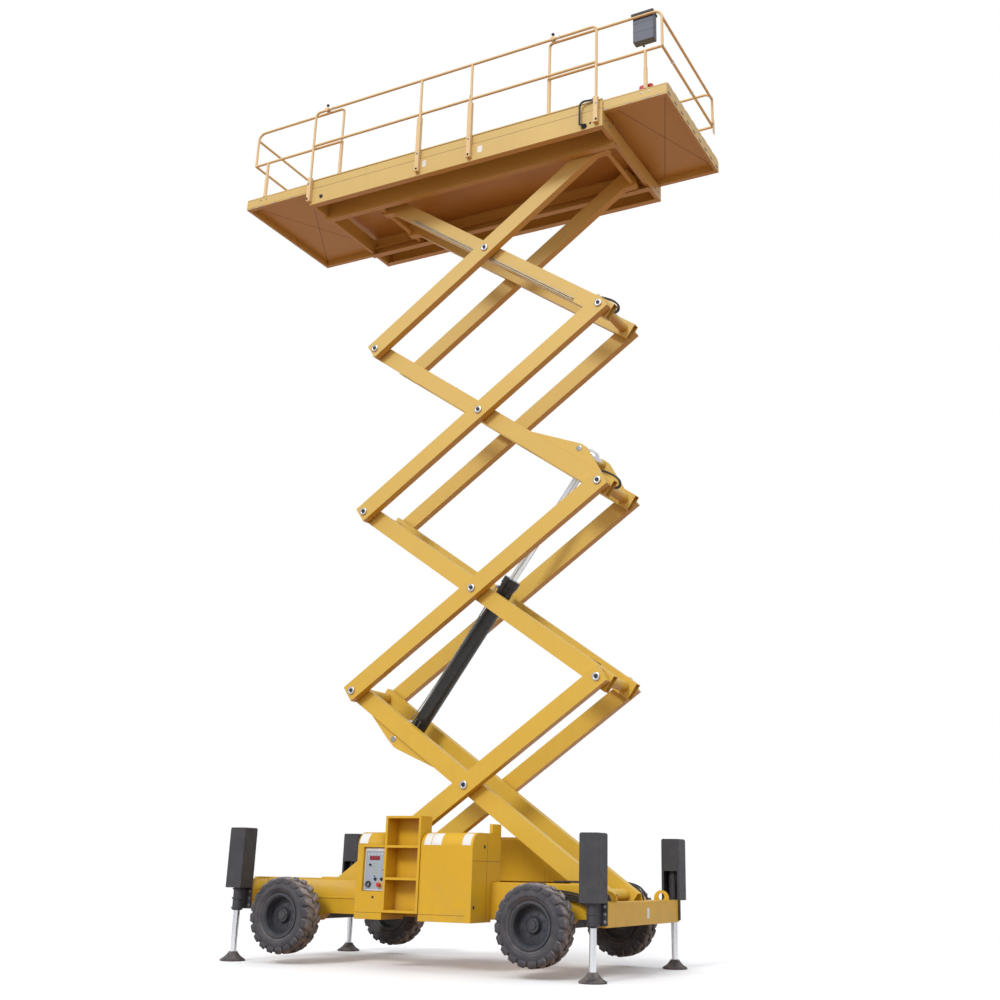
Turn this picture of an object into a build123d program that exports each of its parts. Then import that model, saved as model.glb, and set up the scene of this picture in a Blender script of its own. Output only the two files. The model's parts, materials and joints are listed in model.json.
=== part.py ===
"""Rough-terrain scissor lift on four stabilisers, platform part raised.

Millimetres, +Z up, X along the machine, steered wheels and hinged arm ends at +X,
ladder side at -Y. The origin is on the floor under the middle of the machine.
"""

from build123d import *
import math
import os

# ---------------------------------------------------------------- driving dimensions
# scissor stack
ARM_LENGTH = 3814.0          # pin to pin
ARM_ANGLE = 34.78            # degrees above horizontal, as stored
BASE_PIN_X = 2035.0
BASE_PIN_Z = 756.0
ARM_DEPTH = 200.0
ARM_WIDTH = 100.0
ARM_WALL = 8.0
INNER_Y = 310.0              # middle of the inner arms
ARM_GAP = 20.0               # between inner and outer arms
ARM_END = 70.0               # past the pin, closed ends
OPEN_END = 120.0             # past the pin, open tube ends
SHAFT_R = 30.0
CROSS_R = 60.0
PIN_FIT = 0.05
OPEN_PIN_FIT = 0.5
RUN_GAP = 0.5                # between a collar and the arm that turns beside it
HEAD_R = 45.0
HEAD_T = 12.0
TOP_PIN_DROP = 120.0         # top pins sit below the arm's middle line
TOP_LUG_R = 55.0

# rollers and their rails
ROLLER_R = 46.0
ROLLER_W = 44.0
RAIL_GAP = 0.3               # above and below a roller
RAIL_T = 12.0
RAIL_W = 62.0
LOW_ANGLE = 5.78             # lowered
HIGH_ANGLE = 49.78           # fully raised

# lifting cylinder, its pins measured along and square to the arm from the left pin
LOWER_PIN_ALONG = 749.0
LOWER_PIN_DROP = 157.0
UPPER_PIN_ALONG = 508.0      # from the right pin of the third stage
UPPER_PIN_RISE = 213.0
BARREL_R = 92.0
BARREL_LENGTH = 2240.0
GLAND_R = 104.0
GLAND_L = 90.0
ROD_R = 45.0
CYL_PIN_R = 40.0
EYE_R = 80.0
EYE_W = 110.0
BRACKET_T = 20.0
BRACKET_SPREAD = 300.0
BRACKET_R = 60.0
PISTON_REST = 1400.0         # from the lower pin, as stored
PISTON_L = 80.0

# chassis
BEAM_INNER_Y = 560.0
BEAM_OUTER_Y = 690.0
BEAM_Z0, BEAM_Z1 = 655.0, 860.0
BEAM_X0, BEAM_X1 = -2105.0, 2370.0
MEMBER_Z1 = 590.0
END_BEAM_W = 170.0
LUG_T = 22.0
LUG_R = 85.0
LUG_GAP = 8.0

# tie-down rings on the rear beam
RING_Y = 330.0
RING_T = 20.0
RING_RISE = 50.0
RING_R = 48.0
RING_BORE_R = 24.0

# stabilisers
STAB_LEFT_X, STAB_RIGHT_X = -1998.0, 2282.0
STAB_Y = 1063.0
COLUMN_W = 206.0
COLUMN_Z0, COLUMN_Z1 = 720.0, 1350.0
COLUMN_WALL = 12.0
CLAMP_Z0 = 530.0
CLAMP_W = 190.0
LEG_R = 34.0
LEG_TOP = 915.0
LEG_BORE_R = 34.3
FOOT_R = 160.0
FOOT_H = 62.0
FOOT_RIM = 18.0
FOOT_NECK_R = 52.0

# wheels
AXLE_LEFT_X, AXLE_RIGHT_X = -1343.0, 1661.0
HUB_Z = 481.0
TYRE_R = 390.5
LUG_H = 22.0
TYRE_Y0, TYRE_Y1 = 919.0, 1187.0
RIM_R = 212.0
LUGS = 18
LUG_W = 44.0
LUG_LEAN = 52.0
BEAD_IN = 34.0
KINGPIN_Y = 850.0
KINGPIN_R = 22.0
KINGPIN_BOSS_R = 38.0
AXLE_H = 100.0
AXLE_W = 90.0
SPINDLE_R = 32.0
SPINDLE_END = 45.0           # past the middle of the wheel
KNUCKLE_W = 90.0
KNUCKLE_GAP = 12.0
KNUCKLE_EAR = 24.0
KNUCKLE_REACH = 52.0
KNUCKLE_PLATE = 12.0

# ladder side housings
HOUSING_X0, HOUSING_X1 = -420.0, 970.0
HOUSING_Y = 1100.0
HOUSING_Z0, HOUSING_Z1 = 475.0, 1335.0
HOUSING_ROUND = 135.0
LADDER_X0, LADDER_X1 = -80.0, 354.0
LADDER_Z0, LADDER_Z1 = 545.0, 1495.0
LADDER_Y0, LADDER_Y1 = 900.0, 1112.0
LADDER_SIDE = 28.0
TREAD_T = 24.0
SPLIT = 4.0                  # joint lines between covers

# platform
PLAT_X0, PLAT_X1 = -1995.0, 2288.0
PLAT_Y = 940.0
PLAT_Z0, PLAT_Z1 = 9342.0, 9720.0
SIDE_T = 10.0
GROOVE_Z = 9580.0
GROOVE_STEP = 5.0
FLANGE_T = 10.0
FLANGE_W = 85.0
RUNNER_Z = 9540.0
BEAM_RAIL_Y0, BEAM_RAIL_Y1 = 500.0, 585.0
DECK_Z0, DECK_Z1 = 9604.0, 9616.0
EXT_OUT = 3095.0
EXT_LENGTH = 1495.0
EXT_END_T = 40.0
EXT_Y = 920.0
EXT_SIDE_W = 60.0
EXT_Z0, EXT_Z1 = 9550.3, 9700.0
EXT_FLOOR_Z0, EXT_FLOOR_Z1 = 9622.0, 9630.0

# guardrails
RAIL_TOP_Z = 10760.0
RAIL_MID_Z = 10240.0
TUBE_R = 17.0
POST_R = 19.0
RAIL_Y = 962.0
EXT_RAIL_Y = 898.0
SOCKET = 56.0
SOCKET_Z0 = 9385.0
CORNER_R = 110.0
GATE_SLEEVE_Z = 10180.0
CLIP_R = 26.0
CLIP_FIT = 0.3
CLIP_RISE = 50.0

# hose beside the right post: its two glands and the line between them
HOSE_R = 12.0
GLAND_OUT = 26.0
HOSE_GLAND_R = 19.0
HOSE_TOP_Z = 9712.0
HOSE_LOW_X, HOSE_LOW_Z = 2040.0, 9392.0
HOSE_BULGE_X = 2012.0

# upper controls
CONTROLS_X0, CONTROLS_X1 = 2650.0, 2935.0
CONTROLS_Z0 = 10300.0
CONTROLS_D = 100.0
CONTROLS_HOOD = 45.0

# ---------------------------------------------------------------- derived places
RUN = ARM_LENGTH * math.cos(math.radians(ARM_ANGLE))
RISE = ARM_LENGTH * math.sin(math.radians(ARM_ANGLE))
LEFT_X = BASE_PIN_X - RUN
MEMBER_Z0 = HUB_Z + AXLE_H / 2
OUTER_Y = INNER_Y + ARM_WIDTH + ARM_GAP
INNER_IN, INNER_OUT = INNER_Y - ARM_WIDTH / 2, INNER_Y + ARM_WIDTH / 2
OUTER_IN, OUTER_OUT = OUTER_Y - ARM_WIDTH / 2, OUTER_Y + ARM_WIDTH / 2


def level(k):
    """Height of the k-th row of pins, counted from the base."""
    return BASE_PIN_Z + k * RISE


# ---------------------------------------------------------------- helpers
def box(x0, x1, y0, y1, z0, z1):
    return Pos((x0 + x1) / 2, (y0 + y1) / 2, (z0 + z1) / 2) * Box(x1 - x0, y1 - y0, z1 - z0)


def rod_x(y, z, r, x0, x1):
    return Pos((x0 + x1) / 2, y, z) * Rot(Y=90) * Cylinder(r, x1 - x0)


def rod_y(x, z, r, y0, y1):
    return Pos(x, (y0 + y1) / 2, z) * Rot(X=90) * Cylinder(r, y1 - y0)


def rod_z(x, y, r, z0, z1):
    return Pos(x, y, (z0 + z1) / 2) * Cylinder(r, z1 - z0)


def far(shape):
    """The same thing on the other side of the machine."""
    return mirror(shape, about=Plane.XZ)


def plate_xz(points, y0, y1):
    """A flat plate with an outline in X-Z, between two Y values."""
    face = make_face(Polyline(*[(x, 0, z) for x, z in points], close=True))
    return Pos(0, y0, 0) * extrude(face, amount=y1 - y0, dir=(0, 1, 0))


def bent_tube(points, radii, r):
    """A round tube along straight runs joined by arcs."""
    path = FilletPolyline(*points, radius=radii)
    start = path @ 0
    ring = Plane(origin=start, z_dir=path % 0) * Circle(r)
    return sweep(ring, path=path)


def write(name, shape):
    export_step(shape, f"parts/{name}.step")


# ---------------------------------------------------------------- scissor arms
def hollow_arm(y, end_left, end_right, open_right):
    """One arm tube along local X from its left pin, near side."""
    half = ARM_DEPTH / 2
    y0, y1 = -y - ARM_WIDTH / 2, -y + ARM_WIDTH / 2
    tube = box(-end_left, ARM_LENGTH + end_right, y0, y1, -half, half)
    inside_end = ARM_LENGTH + end_right + (ARM_WALL if open_right else -ARM_WALL)
    hollow = box(-end_left + ARM_WALL, inside_end, y0 + ARM_WALL, y1 - ARM_WALL,
                 -half + ARM_WALL, half - ARM_WALL)
    return tube - hollow


def outer_frame(stage):
    """The '/' arms: both end shafts run right across and turn in the inner arms."""
    top = stage == 4
    base = stage == 1
    arm = hollow_arm(OUTER_Y, ARM_END, ARM_END, False)
    mid = ARM_LENGTH / 2
    arm += rod_y(mid, 0, HEAD_R + 8, -OUTER_OUT, -OUTER_IN)
    arm -= rod_y(mid, 0, SHAFT_R + PIN_FIT, -OUTER_OUT - 1, -OUTER_IN + 1)
    if top:
        arm += rod_y(ARM_LENGTH, -TOP_PIN_DROP, TOP_LUG_R, -OUTER_OUT, -OUTER_IN)
        arm += plate_xz([(ARM_LENGTH - 2.6 * TOP_LUG_R, -ARM_DEPTH / 2 + ARM_WALL),
                         (ARM_LENGTH - 0.8 * TOP_LUG_R, -TOP_PIN_DROP - 0.6 * TOP_LUG_R),
                         (ARM_LENGTH + 0.9 * TOP_LUG_R, -TOP_PIN_DROP + 0.4 * TOP_LUG_R),
                         (ARM_LENGTH + ARM_END, -ARM_DEPTH / 2 + ARM_WALL)],
                        -OUTER_OUT, -OUTER_IN)
    frame = arm + far(arm)
    frame += rod_y(0, 0, SHAFT_R, -OUTER_OUT - HEAD_T, OUTER_OUT + HEAD_T)
    for side in (-1, 1):
        head = rod_y(0, 0, HEAD_R, OUTER_OUT, OUTER_OUT + HEAD_T)
        frame += head if side > 0 else far(head)
    if base:
        axle = rod_y(0, 0, SHAFT_R, -ROLLER_Y1, ROLLER_Y1)
        roller = rod_y(0, 0, ROLLER_R, ROLLER_Y0, ROLLER_Y1)
        frame += axle + roller + far(roller)
    right_drop = TOP_PIN_DROP if top else 0
    reach = BEAM_RAIL_Y1 + HEAD_T + 1 if top else OUTER_OUT + HEAD_T
    frame += rod_y(ARM_LENGTH, -right_drop, SHAFT_R, -reach, reach)
    if not top:
        head = rod_y(ARM_LENGTH, 0, HEAD_R, OUTER_OUT, OUTER_OUT + HEAD_T)
        frame += head + far(head)
    place = Pos(LEFT_X, 0, level(stage - 1)) * Rot(Y=-ARM_ANGLE)
    return place * frame


def inner_frame(stage):
    """The '\\' arms: cross tubes bored for the shafts, centre pins of their own."""
    top = stage == 4
    arm = hollow_arm(INNER_Y, ARM_END, OPEN_END, True)
    mid = ARM_LENGTH / 2
    arm += rod_y(mid, 0, SHAFT_R, -OUTER_OUT - HEAD_T, -INNER_IN)
    arm += rod_y(mid, 0, HEAD_R, -OUTER_OUT - HEAD_T, -OUTER_OUT - RUN_GAP)
    arm += rod_y(mid, 0, HEAD_R, -OUTER_IN + RUN_GAP, -INNER_OUT)
    frame = arm + far(arm)
    collar = OUTER_IN - RUN_GAP
    base_collar = INNER_OUT + LUG_GAP - RUN_GAP if stage == 1 else collar
    frame += rod_y(ARM_LENGTH, 0, CROSS_R, -base_collar, base_collar)
    if top:
        lug = rod_y(0, -TOP_PIN_DROP, TOP_LUG_R, -INNER_OUT, -INNER_IN)
        lug += plate_xz([(2.6 * TOP_LUG_R, -ARM_DEPTH / 2 + ARM_WALL),
                         (0.8 * TOP_LUG_R, -TOP_PIN_DROP - 0.6 * TOP_LUG_R),
                         (-0.9 * TOP_LUG_R, -TOP_PIN_DROP + 0.4 * TOP_LUG_R),
                         (-ARM_END, -ARM_DEPTH / 2 + ARM_WALL)],
                        -INNER_OUT, -INNER_IN)
        roller = rod_y(0, -TOP_PIN_DROP, ROLLER_R, TOP_ROLLER_Y0, TOP_ROLLER_Y1)
        frame += lug + far(lug)
        frame += rod_y(0, -TOP_PIN_DROP, SHAFT_R, -TOP_ROLLER_Y1, TOP_ROLLER_Y1)
        frame += roller + far(roller)
    else:
        frame += rod_y(0, 0, CROSS_R, -collar, collar)
        frame -= rod_y(0, 0, SHAFT_R + PIN_FIT, -OUTER_OUT, OUTER_OUT)
    fit = PIN_FIT if stage in (1, 3) else OPEN_PIN_FIT
    frame -= rod_y(ARM_LENGTH, 0, SHAFT_R + fit, -OUTER_OUT, OUTER_OUT)
    if stage == 1:
        frame += cylinder_bracket(LOWER_PIN_ALONG, -LOWER_PIN_DROP, True)
    if stage == 3:
        frame += cylinder_bracket(ARM_LENGTH - UPPER_PIN_ALONG, UPPER_PIN_RISE, False)
    place = Pos(LEFT_X, 0, level(stage)) * Rot(Y=ARM_ANGLE)
    return place * frame


def cylinder_bracket(along, rise, with_pin):
    """Triangular plates on the inner arms that carry one end of the lifting cylinder."""
    sign = 1 if rise > 0 else -1
    edge = sign * (ARM_DEPTH / 2 - ARM_WALL)
    lean = BRACKET_R * 0.75
    plate = plate_xz([(along - BRACKET_SPREAD, edge), (along - lean, rise + sign * lean * 0.7),
                      (along + lean, rise + sign * lean * 0.7), (along + BRACKET_SPREAD, edge)],
                     -INNER_Y - BRACKET_T / 2, -INNER_Y + BRACKET_T / 2)
    plate += rod_y(along, rise, BRACKET_R, -INNER_Y - BRACKET_T / 2, -INNER_Y + BRACKET_T / 2)
    if with_pin:
        pin = rod_y(along, rise, CYL_PIN_R, -INNER_Y, INNER_Y)
        return plate + far(plate) + pin
    cap = rod_y(along, rise, CYL_PIN_R + 15, -INNER_Y, -INNER_IN + 5)
    return plate + far(plate) + cap + far(cap)


# roller tracks: base rollers run beside the main beams, top rollers in the platform rails
ROLLER_Y1 = BEAM_INNER_Y - RAIL_T - 3
ROLLER_Y0 = ROLLER_Y1 - ROLLER_W
TOP_ROLLER_Y1 = BEAM_RAIL_Y1 - RAIL_T - 3
TOP_ROLLER_Y0 = TOP_ROLLER_Y1 - ROLLER_W


def slider_x(angle):
    return BASE_PIN_X - ARM_LENGTH * math.cos(math.radians(angle))


# ---------------------------------------------------------------- lifting cylinder
def rotated(along, rise, tilt):
    a = math.radians(tilt)
    return along * math.cos(a) + rise * math.sin(a), -along * math.sin(a) + rise * math.cos(a)


def lower_pin():
    dx, dz = rotated(LOWER_PIN_ALONG, -LOWER_PIN_DROP, ARM_ANGLE)
    return LEFT_X + dx, level(1) + dz


def upper_pin():
    dx, dz = rotated(ARM_LENGTH - UPPER_PIN_ALONG, UPPER_PIN_RISE, ARM_ANGLE)
    return LEFT_X + dx, level(3) + dz


def cylinder_pieces():
    (x0, z0), (x1, z1) = lower_pin(), upper_pin()
    length = math.hypot(x1 - x0, z1 - z0)
    tilt = math.degrees(math.atan2(z1 - z0, x1 - x0))
    barrel = rod_x(0, 0, BARREL_R, EYE_R * 0.7, BARREL_LENGTH)
    barrel += rod_x(0, 0, GLAND_R, BARREL_LENGTH - GLAND_L, BARREL_LENGTH)
    barrel += rod_y(0, 0, EYE_R, -EYE_W / 2, EYE_W / 2)
    barrel -= rod_y(0, 0, CYL_PIN_R + PIN_FIT, -EYE_W, EYE_W)
    barrel -= rod_x(0, 0, BARREL_R - 14, EYE_R + 60, BARREL_LENGTH - GLAND_L)
    barrel -= rod_x(0, 0, ROD_R + PIN_FIT, EYE_R + 60, BARREL_LENGTH + 1)
    rod = rod_x(0, 0, ROD_R, PISTON_REST, length - EYE_R * 0.6)
    rod += rod_x(0, 0, BARREL_R - 15, PISTON_REST, PISTON_REST + PISTON_L)
    rod += rod_y(length, 0, EYE_R, -EYE_W / 2, EYE_W / 2)
    rod += rod_y(length, 0, CYL_PIN_R, -INNER_IN + 10, INNER_IN - 10)
    place = Pos(x0, 0, z0) * Rot(Y=-tilt)
    return place * barrel, place * rod


# ---------------------------------------------------------------- chassis
def axle_blocks(x, width):
    """Hanging block under each main beam and the member that joins them."""
    member = box(x - width / 2, x + width / 2, -BEAM_OUTER_Y, BEAM_OUTER_Y, MEMBER_Z0, MEMBER_Z1)
    block = box(x - width / 2, x + width / 2, -BEAM_OUTER_Y, -BEAM_INNER_Y, MEMBER_Z0, BEAM_Z0)
    return member + block + far(block)


def chassis_frame():
    beam = box(BEAM_X0, BEAM_X1, -BEAM_OUTER_Y, -BEAM_INNER_Y, BEAM_Z0, BEAM_Z1)
    frame = beam + far(beam)
    for x in (AXLE_LEFT_X, 0.0, AXLE_RIGHT_X):
        frame += axle_blocks(x, 260.0)
    reach = STAB_Y - COLUMN_W / 2
    for x in (STAB_LEFT_X, STAB_RIGHT_X):
        frame += box(x - END_BEAM_W / 2, x + END_BEAM_W / 2, -reach, reach, BEAM_Z0 + 20, BEAM_Z1 - 20)
    track_x0, track_x1 = slider_x(LOW_ANGLE) - 90, slider_x(HIGH_ANGLE) + 90
    for z in (BASE_PIN_Z - ROLLER_R - RAIL_GAP - RAIL_T, BASE_PIN_Z + ROLLER_R + RAIL_GAP):
        flange = box(track_x0, track_x1, -BEAM_INNER_Y, -BEAM_INNER_Y + RAIL_W, z, z + RAIL_T)
        frame += flange + far(flange)
    lug_x1 = STAB_RIGHT_X - END_BEAM_W / 2
    lug_y = INNER_OUT + LUG_GAP
    lug = rod_y(BASE_PIN_X, BASE_PIN_Z, LUG_R, -lug_y - LUG_T, -lug_y)
    lug += box(BASE_PIN_X - LUG_R, lug_x1, -lug_y - LUG_T, -lug_y, MEMBER_Z0, BASE_PIN_Z)
    frame += lug + far(lug)
    frame += box(BASE_PIN_X - LUG_R, lug_x1 + END_BEAM_W, -BEAM_OUTER_Y, BEAM_OUTER_Y, MEMBER_Z0, MEMBER_Z1)
    frame += box(lug_x1, lug_x1 + END_BEAM_W, -BEAM_OUTER_Y, BEAM_OUTER_Y, MEMBER_Z0, BEAM_Z1 - 20)
    frame += rod_y(BASE_PIN_X, BASE_PIN_Z, SHAFT_R, -INNER_OUT - LUG_T - 20, INNER_OUT + LUG_T + 20)
    x0, x1 = STAB_RIGHT_X - RING_T / 2, STAB_RIGHT_X + RING_T / 2
    ring_z = BEAM_Z1 - 20 + RING_RISE
    ring = rod_x(-RING_Y, ring_z, RING_R, x0, x1)
    ring += box(x0, x1, -RING_Y - RING_R, -RING_Y + RING_R, BEAM_Z1 - 20, ring_z)
    ring -= rod_x(-RING_Y, ring_z, RING_BORE_R, x0 - 1, x1 + 1)
    return frame + ring + far(ring)


def column(x):
    """Stabiliser column, near side, with its clamp and the bore for the leg."""
    half = COLUMN_W / 2
    body = box(x - half, x + half, -STAB_Y - half, -STAB_Y + half, COLUMN_Z0, COLUMN_Z1)
    body = chamfer(body.edges().filter_by(Axis.X).group_by(Axis.Z)[-1], 30)
    hollow = box(x - half + COLUMN_WALL, x + half - COLUMN_WALL, -STAB_Y - half + COLUMN_WALL,
                 -STAB_Y + half - COLUMN_WALL, COLUMN_Z0 - 1, COLUMN_Z1 - 40)
    body -= hollow
    clamp = CLAMP_W / 2
    body += box(x - clamp, x + clamp, -STAB_Y - clamp, -STAB_Y + clamp, CLAMP_Z0, COLUMN_Z0 + 20)
    body -= rod_z(x, -STAB_Y, LEG_BORE_R, CLAMP_Z0 - 1, COLUMN_Z0 + 30)
    return body


def leg(x):
    """Chrome rod and round foot, near side."""
    profile = [(0, 0), (FOOT_R, 0), (FOOT_R, FOOT_RIM), (FOOT_NECK_R, FOOT_H),
               (LEG_R, FOOT_H), (LEG_R, LEG_TOP), (0, LEG_TOP)]
    face = make_face(Polyline(*[(r, 0, z) for r, z in profile], close=True))
    return Pos(x, -STAB_Y, 0) * revolve(face, Axis.Z)


# ---------------------------------------------------------------- wheels
def tyre():
    """Lugged tyre about Y, its outer side towards -Y, centred on the hub."""
    half = (TYRE_Y1 - TYRE_Y0) / 2
    carcass_r = TYRE_R - LUG_H
    side = [(RIM_R, half - BEAD_IN), (RIM_R + 18, half - BEAD_IN), (RIM_R + 50, half - 8),
            (RIM_R + 105, half), (carcass_r - 26, half - 14), (carcass_r, half - 45)]
    profile = side + [(r, -w) for r, w in reversed(side)]
    body = revolve(make_face(Polyline(*[(r, w, 0) for r, w in profile], close=True)), Axis.Y)
    reach = LUG_W / 2 + LUG_LEAN / 2
    lug_top = math.sqrt(TYRE_R ** 2 - reach ** 2)
    lug = lug_block(4, half - 4, LUG_LEAN, lug_top, LUG_H + 12)
    shoulder = lug_block(half - 44, half - 4, 0, lug_top - 8, 46)
    lug += Pos(LUG_LEAN / 2, 0, 0) * shoulder
    pitch = 360 / LUGS
    lugs = []
    for i in range(LUGS):
        lugs.append(Rot(Y=i * pitch) * lug)
        lugs.append(Rot(Y=(i + 0.5) * pitch) * mirror(lug, about=Plane.XZ))
    return body + lugs


def lug_block(y0, y1, lean, top, depth):
    """One rubber bar across half the tread; it leans by lean from y0 to y1."""
    half = LUG_W / 2
    corners = [(-lean / 2 - half, y0), (-lean / 2 + half, y0), (lean / 2 + half, y1), (lean / 2 - half, y1)]
    face = make_face(Polyline(*[(x, y, top - depth) for x, y in corners], close=True))
    return extrude(face, amount=depth, dir=(0, 0, 1))


def rim():
    """Deep-dished wheel about Y with its hub, outer side towards -Y."""
    half = (TYRE_Y1 - TYRE_Y0) / 2
    outer = RIM_R - 0.3
    lip = half - BEAD_IN + 0.3
    profile = [(SPINDLE_R + PIN_FIT, 20), (SPINDLE_R + PIN_FIT, -50), (70, -50), (80, -8), (168, 4),
               (182, -lip + 6), (RIM_R - 12, -half + 18), (RIM_R + 14, -half + 20), (RIM_R + 14, -lip),
               (outer, -lip), (outer, lip), (RIM_R + 14, lip), (RIM_R + 14, half - 20),
               (190, half - 30), (180, 30), (110, 20)]
    face = make_face(Polyline(*[(r, y, 0) for r, y in profile], close=True))
    return revolve(face, Axis.Y)


def hub_mid():
    return (TYRE_Y0 + TYRE_Y1) / 2


def knuckle():
    """Steered hub carrier, near side, with its kingpin and spindle."""
    x, half = AXLE_RIGHT_X, KNUCKLE_W / 2
    ear_in = AXLE_H / 2 + KNUCKLE_GAP
    ear_out = ear_in + KNUCKLE_EAR
    plate_in = -KINGPIN_Y - KNUCKLE_REACH
    body = box(x - half, x + half, plate_in - KNUCKLE_PLATE, plate_in, HUB_Z - ear_out, HUB_Z + ear_out)
    for low in (-ear_out, ear_in):
        body += box(x - half, x + half, plate_in, -KINGPIN_Y + KINGPIN_BOSS_R, HUB_Z + low,
                    HUB_Z + low + KNUCKLE_EAR)
    body += rod_z(x, -KINGPIN_Y, KINGPIN_R, HUB_Z - ear_in, HUB_Z + ear_in)
    body += rod_y(x, HUB_Z, SPINDLE_R, -hub_mid() - SPINDLE_END, plate_in)
    return body


def axle(x, steered):
    """Axle beam clamped under the main beams."""
    half_w, z0, z1 = AXLE_W / 2, HUB_Z - AXLE_H / 2, HUB_Z + AXLE_H / 2
    if not steered:
        end = TYRE_Y0 - 30
        beam = box(x - half_w, x + half_w, -end, end, z0, z1)
        spindle = rod_y(x, HUB_Z, SPINDLE_R, -hub_mid() - SPINDLE_END, -end)
        return beam + spindle + far(spindle)
    end = KINGPIN_Y - KINGPIN_BOSS_R * 0.6
    beam = box(x - half_w, x + half_w, -end, end, z0, z1)
    z0, z1 = z0 - KNUCKLE_GAP / 2, z1 + KNUCKLE_GAP / 2
    boss = rod_z(x, -KINGPIN_Y, KINGPIN_BOSS_R, z0, z1)
    bore = rod_z(x, -KINGPIN_Y, KINGPIN_R + PIN_FIT, z0 - 1, z1 + 1)
    return beam + boss + far(boss) - bore - far(bore)


# ---------------------------------------------------------------- housings and ladder
def housing(x0, x1):
    """Bonnet section on the near side, its top front edge rounded."""
    body = box(x0, x1, -HOUSING_Y, -BEAM_OUTER_Y, HOUSING_Z0, HOUSING_Z1)
    top_front = body.edges().filter_by(Axis.X).group_by(Axis.Z)[-1].sort_by(Axis.Y)[0]
    return fillet(top_front, HOUSING_ROUND)


def ladder():
    body = box(LADDER_X0, LADDER_X1, -LADDER_Y1, -LADDER_Y0, LADDER_Z0, LADDER_Z1)
    pitch = (LADDER_Z1 - LADDER_Z0) / 3
    for i in range(3):
        z0 = LADDER_Z0 + i * pitch
        body -= box(LADDER_X0 + LADDER_SIDE, LADDER_X1 - LADDER_SIDE, -LADDER_Y1 - 1, -LADDER_Y0 - 12,
                    z0 + TREAD_T, z0 + pitch)
    body += box(LADDER_X0, LADDER_X1, -LADDER_Y1, -LADDER_Y0, LADDER_Z1 - TREAD_T, LADDER_Z1)
    return body + box(LADDER_X0, LADDER_X1, -LADDER_Y0, -BEAM_OUTER_Y, BEAM_Z0, BEAM_Z1)


# ---------------------------------------------------------------- platform
def platform_frame():
    side = box(PLAT_X0, PLAT_X1, -PLAT_Y, -PLAT_Y + SIDE_T, PLAT_Z0, GROOVE_Z)
    side += box(PLAT_X0, PLAT_X1, -PLAT_Y + GROOVE_STEP, -PLAT_Y + SIDE_T, GROOVE_Z, PLAT_Z1)
    for z in (PLAT_Z0, RUNNER_Z):
        side += box(PLAT_X0, PLAT_X1, -PLAT_Y, -PLAT_Y + FLANGE_W, z, z + FLANGE_T)
    rail = box(PLAT_X0, PLAT_X1, -BEAM_RAIL_Y1, -BEAM_RAIL_Y1 + RAIL_T, RAIL_Z0, DECK_Z0)
    for z in (RAIL_Z0, RAIL_Z1 - RAIL_T):
        rail += box(PLAT_X0, PLAT_X1, -BEAM_RAIL_Y1, -BEAM_RAIL_Y0, z, z + RAIL_T)
    rail += rod_y(top_pin()[0], top_pin()[1], HEAD_R + 10, -BEAM_RAIL_Y1, -BEAM_RAIL_Y0)
    rail -= rod_y(top_pin()[0], top_pin()[1], SHAFT_R + PIN_FIT, -PLAT_Y, -BEAM_RAIL_Y0 + 5)
    frame = side + rail
    frame += far(frame)
    for x0, x1 in ((PLAT_X0, PLAT_X0 + 50), (PLAT_X1 - 50, PLAT_X1)):
        frame += box(x0, x1, -PLAT_Y, PLAT_Y, PLAT_Z0, RUNNER_Z)
    return frame


def top_pin():
    dx, dz = rotated(ARM_LENGTH, -TOP_PIN_DROP, -ARM_ANGLE)
    return LEFT_X + dx, level(3) + dz


RAIL_Z0 = top_pin()[1] - ROLLER_R - RAIL_GAP - RAIL_T
RAIL_Z1 = top_pin()[1] + ROLLER_R + RAIL_GAP + RAIL_T


def main_deck():
    return box(PLAT_X0 + 51, PLAT_X1 - 51, -PLAT_Y + FLANGE_W + 2, PLAT_Y - FLANGE_W - 2, DECK_Z0, DECK_Z1)


def extension(side):
    """Roll-out deck: two side beams, a floor and an end beam; side is -1 left, +1 right."""
    x_out, x_in = side * EXT_OUT, side * (EXT_OUT - EXT_LENGTH)
    x0, x1 = min(x_out, x_in), max(x_out, x_in)
    deck = box(x0, x1, -EXT_Y, -EXT_Y + EXT_SIDE_W, EXT_Z0, EXT_Z1)
    deck += far(deck)
    deck += box(x0, x1, -EXT_Y, EXT_Y, EXT_FLOOR_Z0, EXT_FLOOR_Z1)
    end = min(x_out, x_out - side * EXT_END_T), max(x_out, x_out - side * EXT_END_T)
    deck += box(end[0], end[1], -EXT_Y, EXT_Y, EXT_Z0, EXT_Z1)
    return deck


# ---------------------------------------------------------------- guardrails
POSTS = {"left": -1990.0, "gate_left": -285.0, "gate_right": 474.0, "right": 2215.0}
EXT_POSTS = {-1: (-1570.0, -2815.0, -3030.0), 1: (1550.0, 2825.0, 3040.0)}


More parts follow.
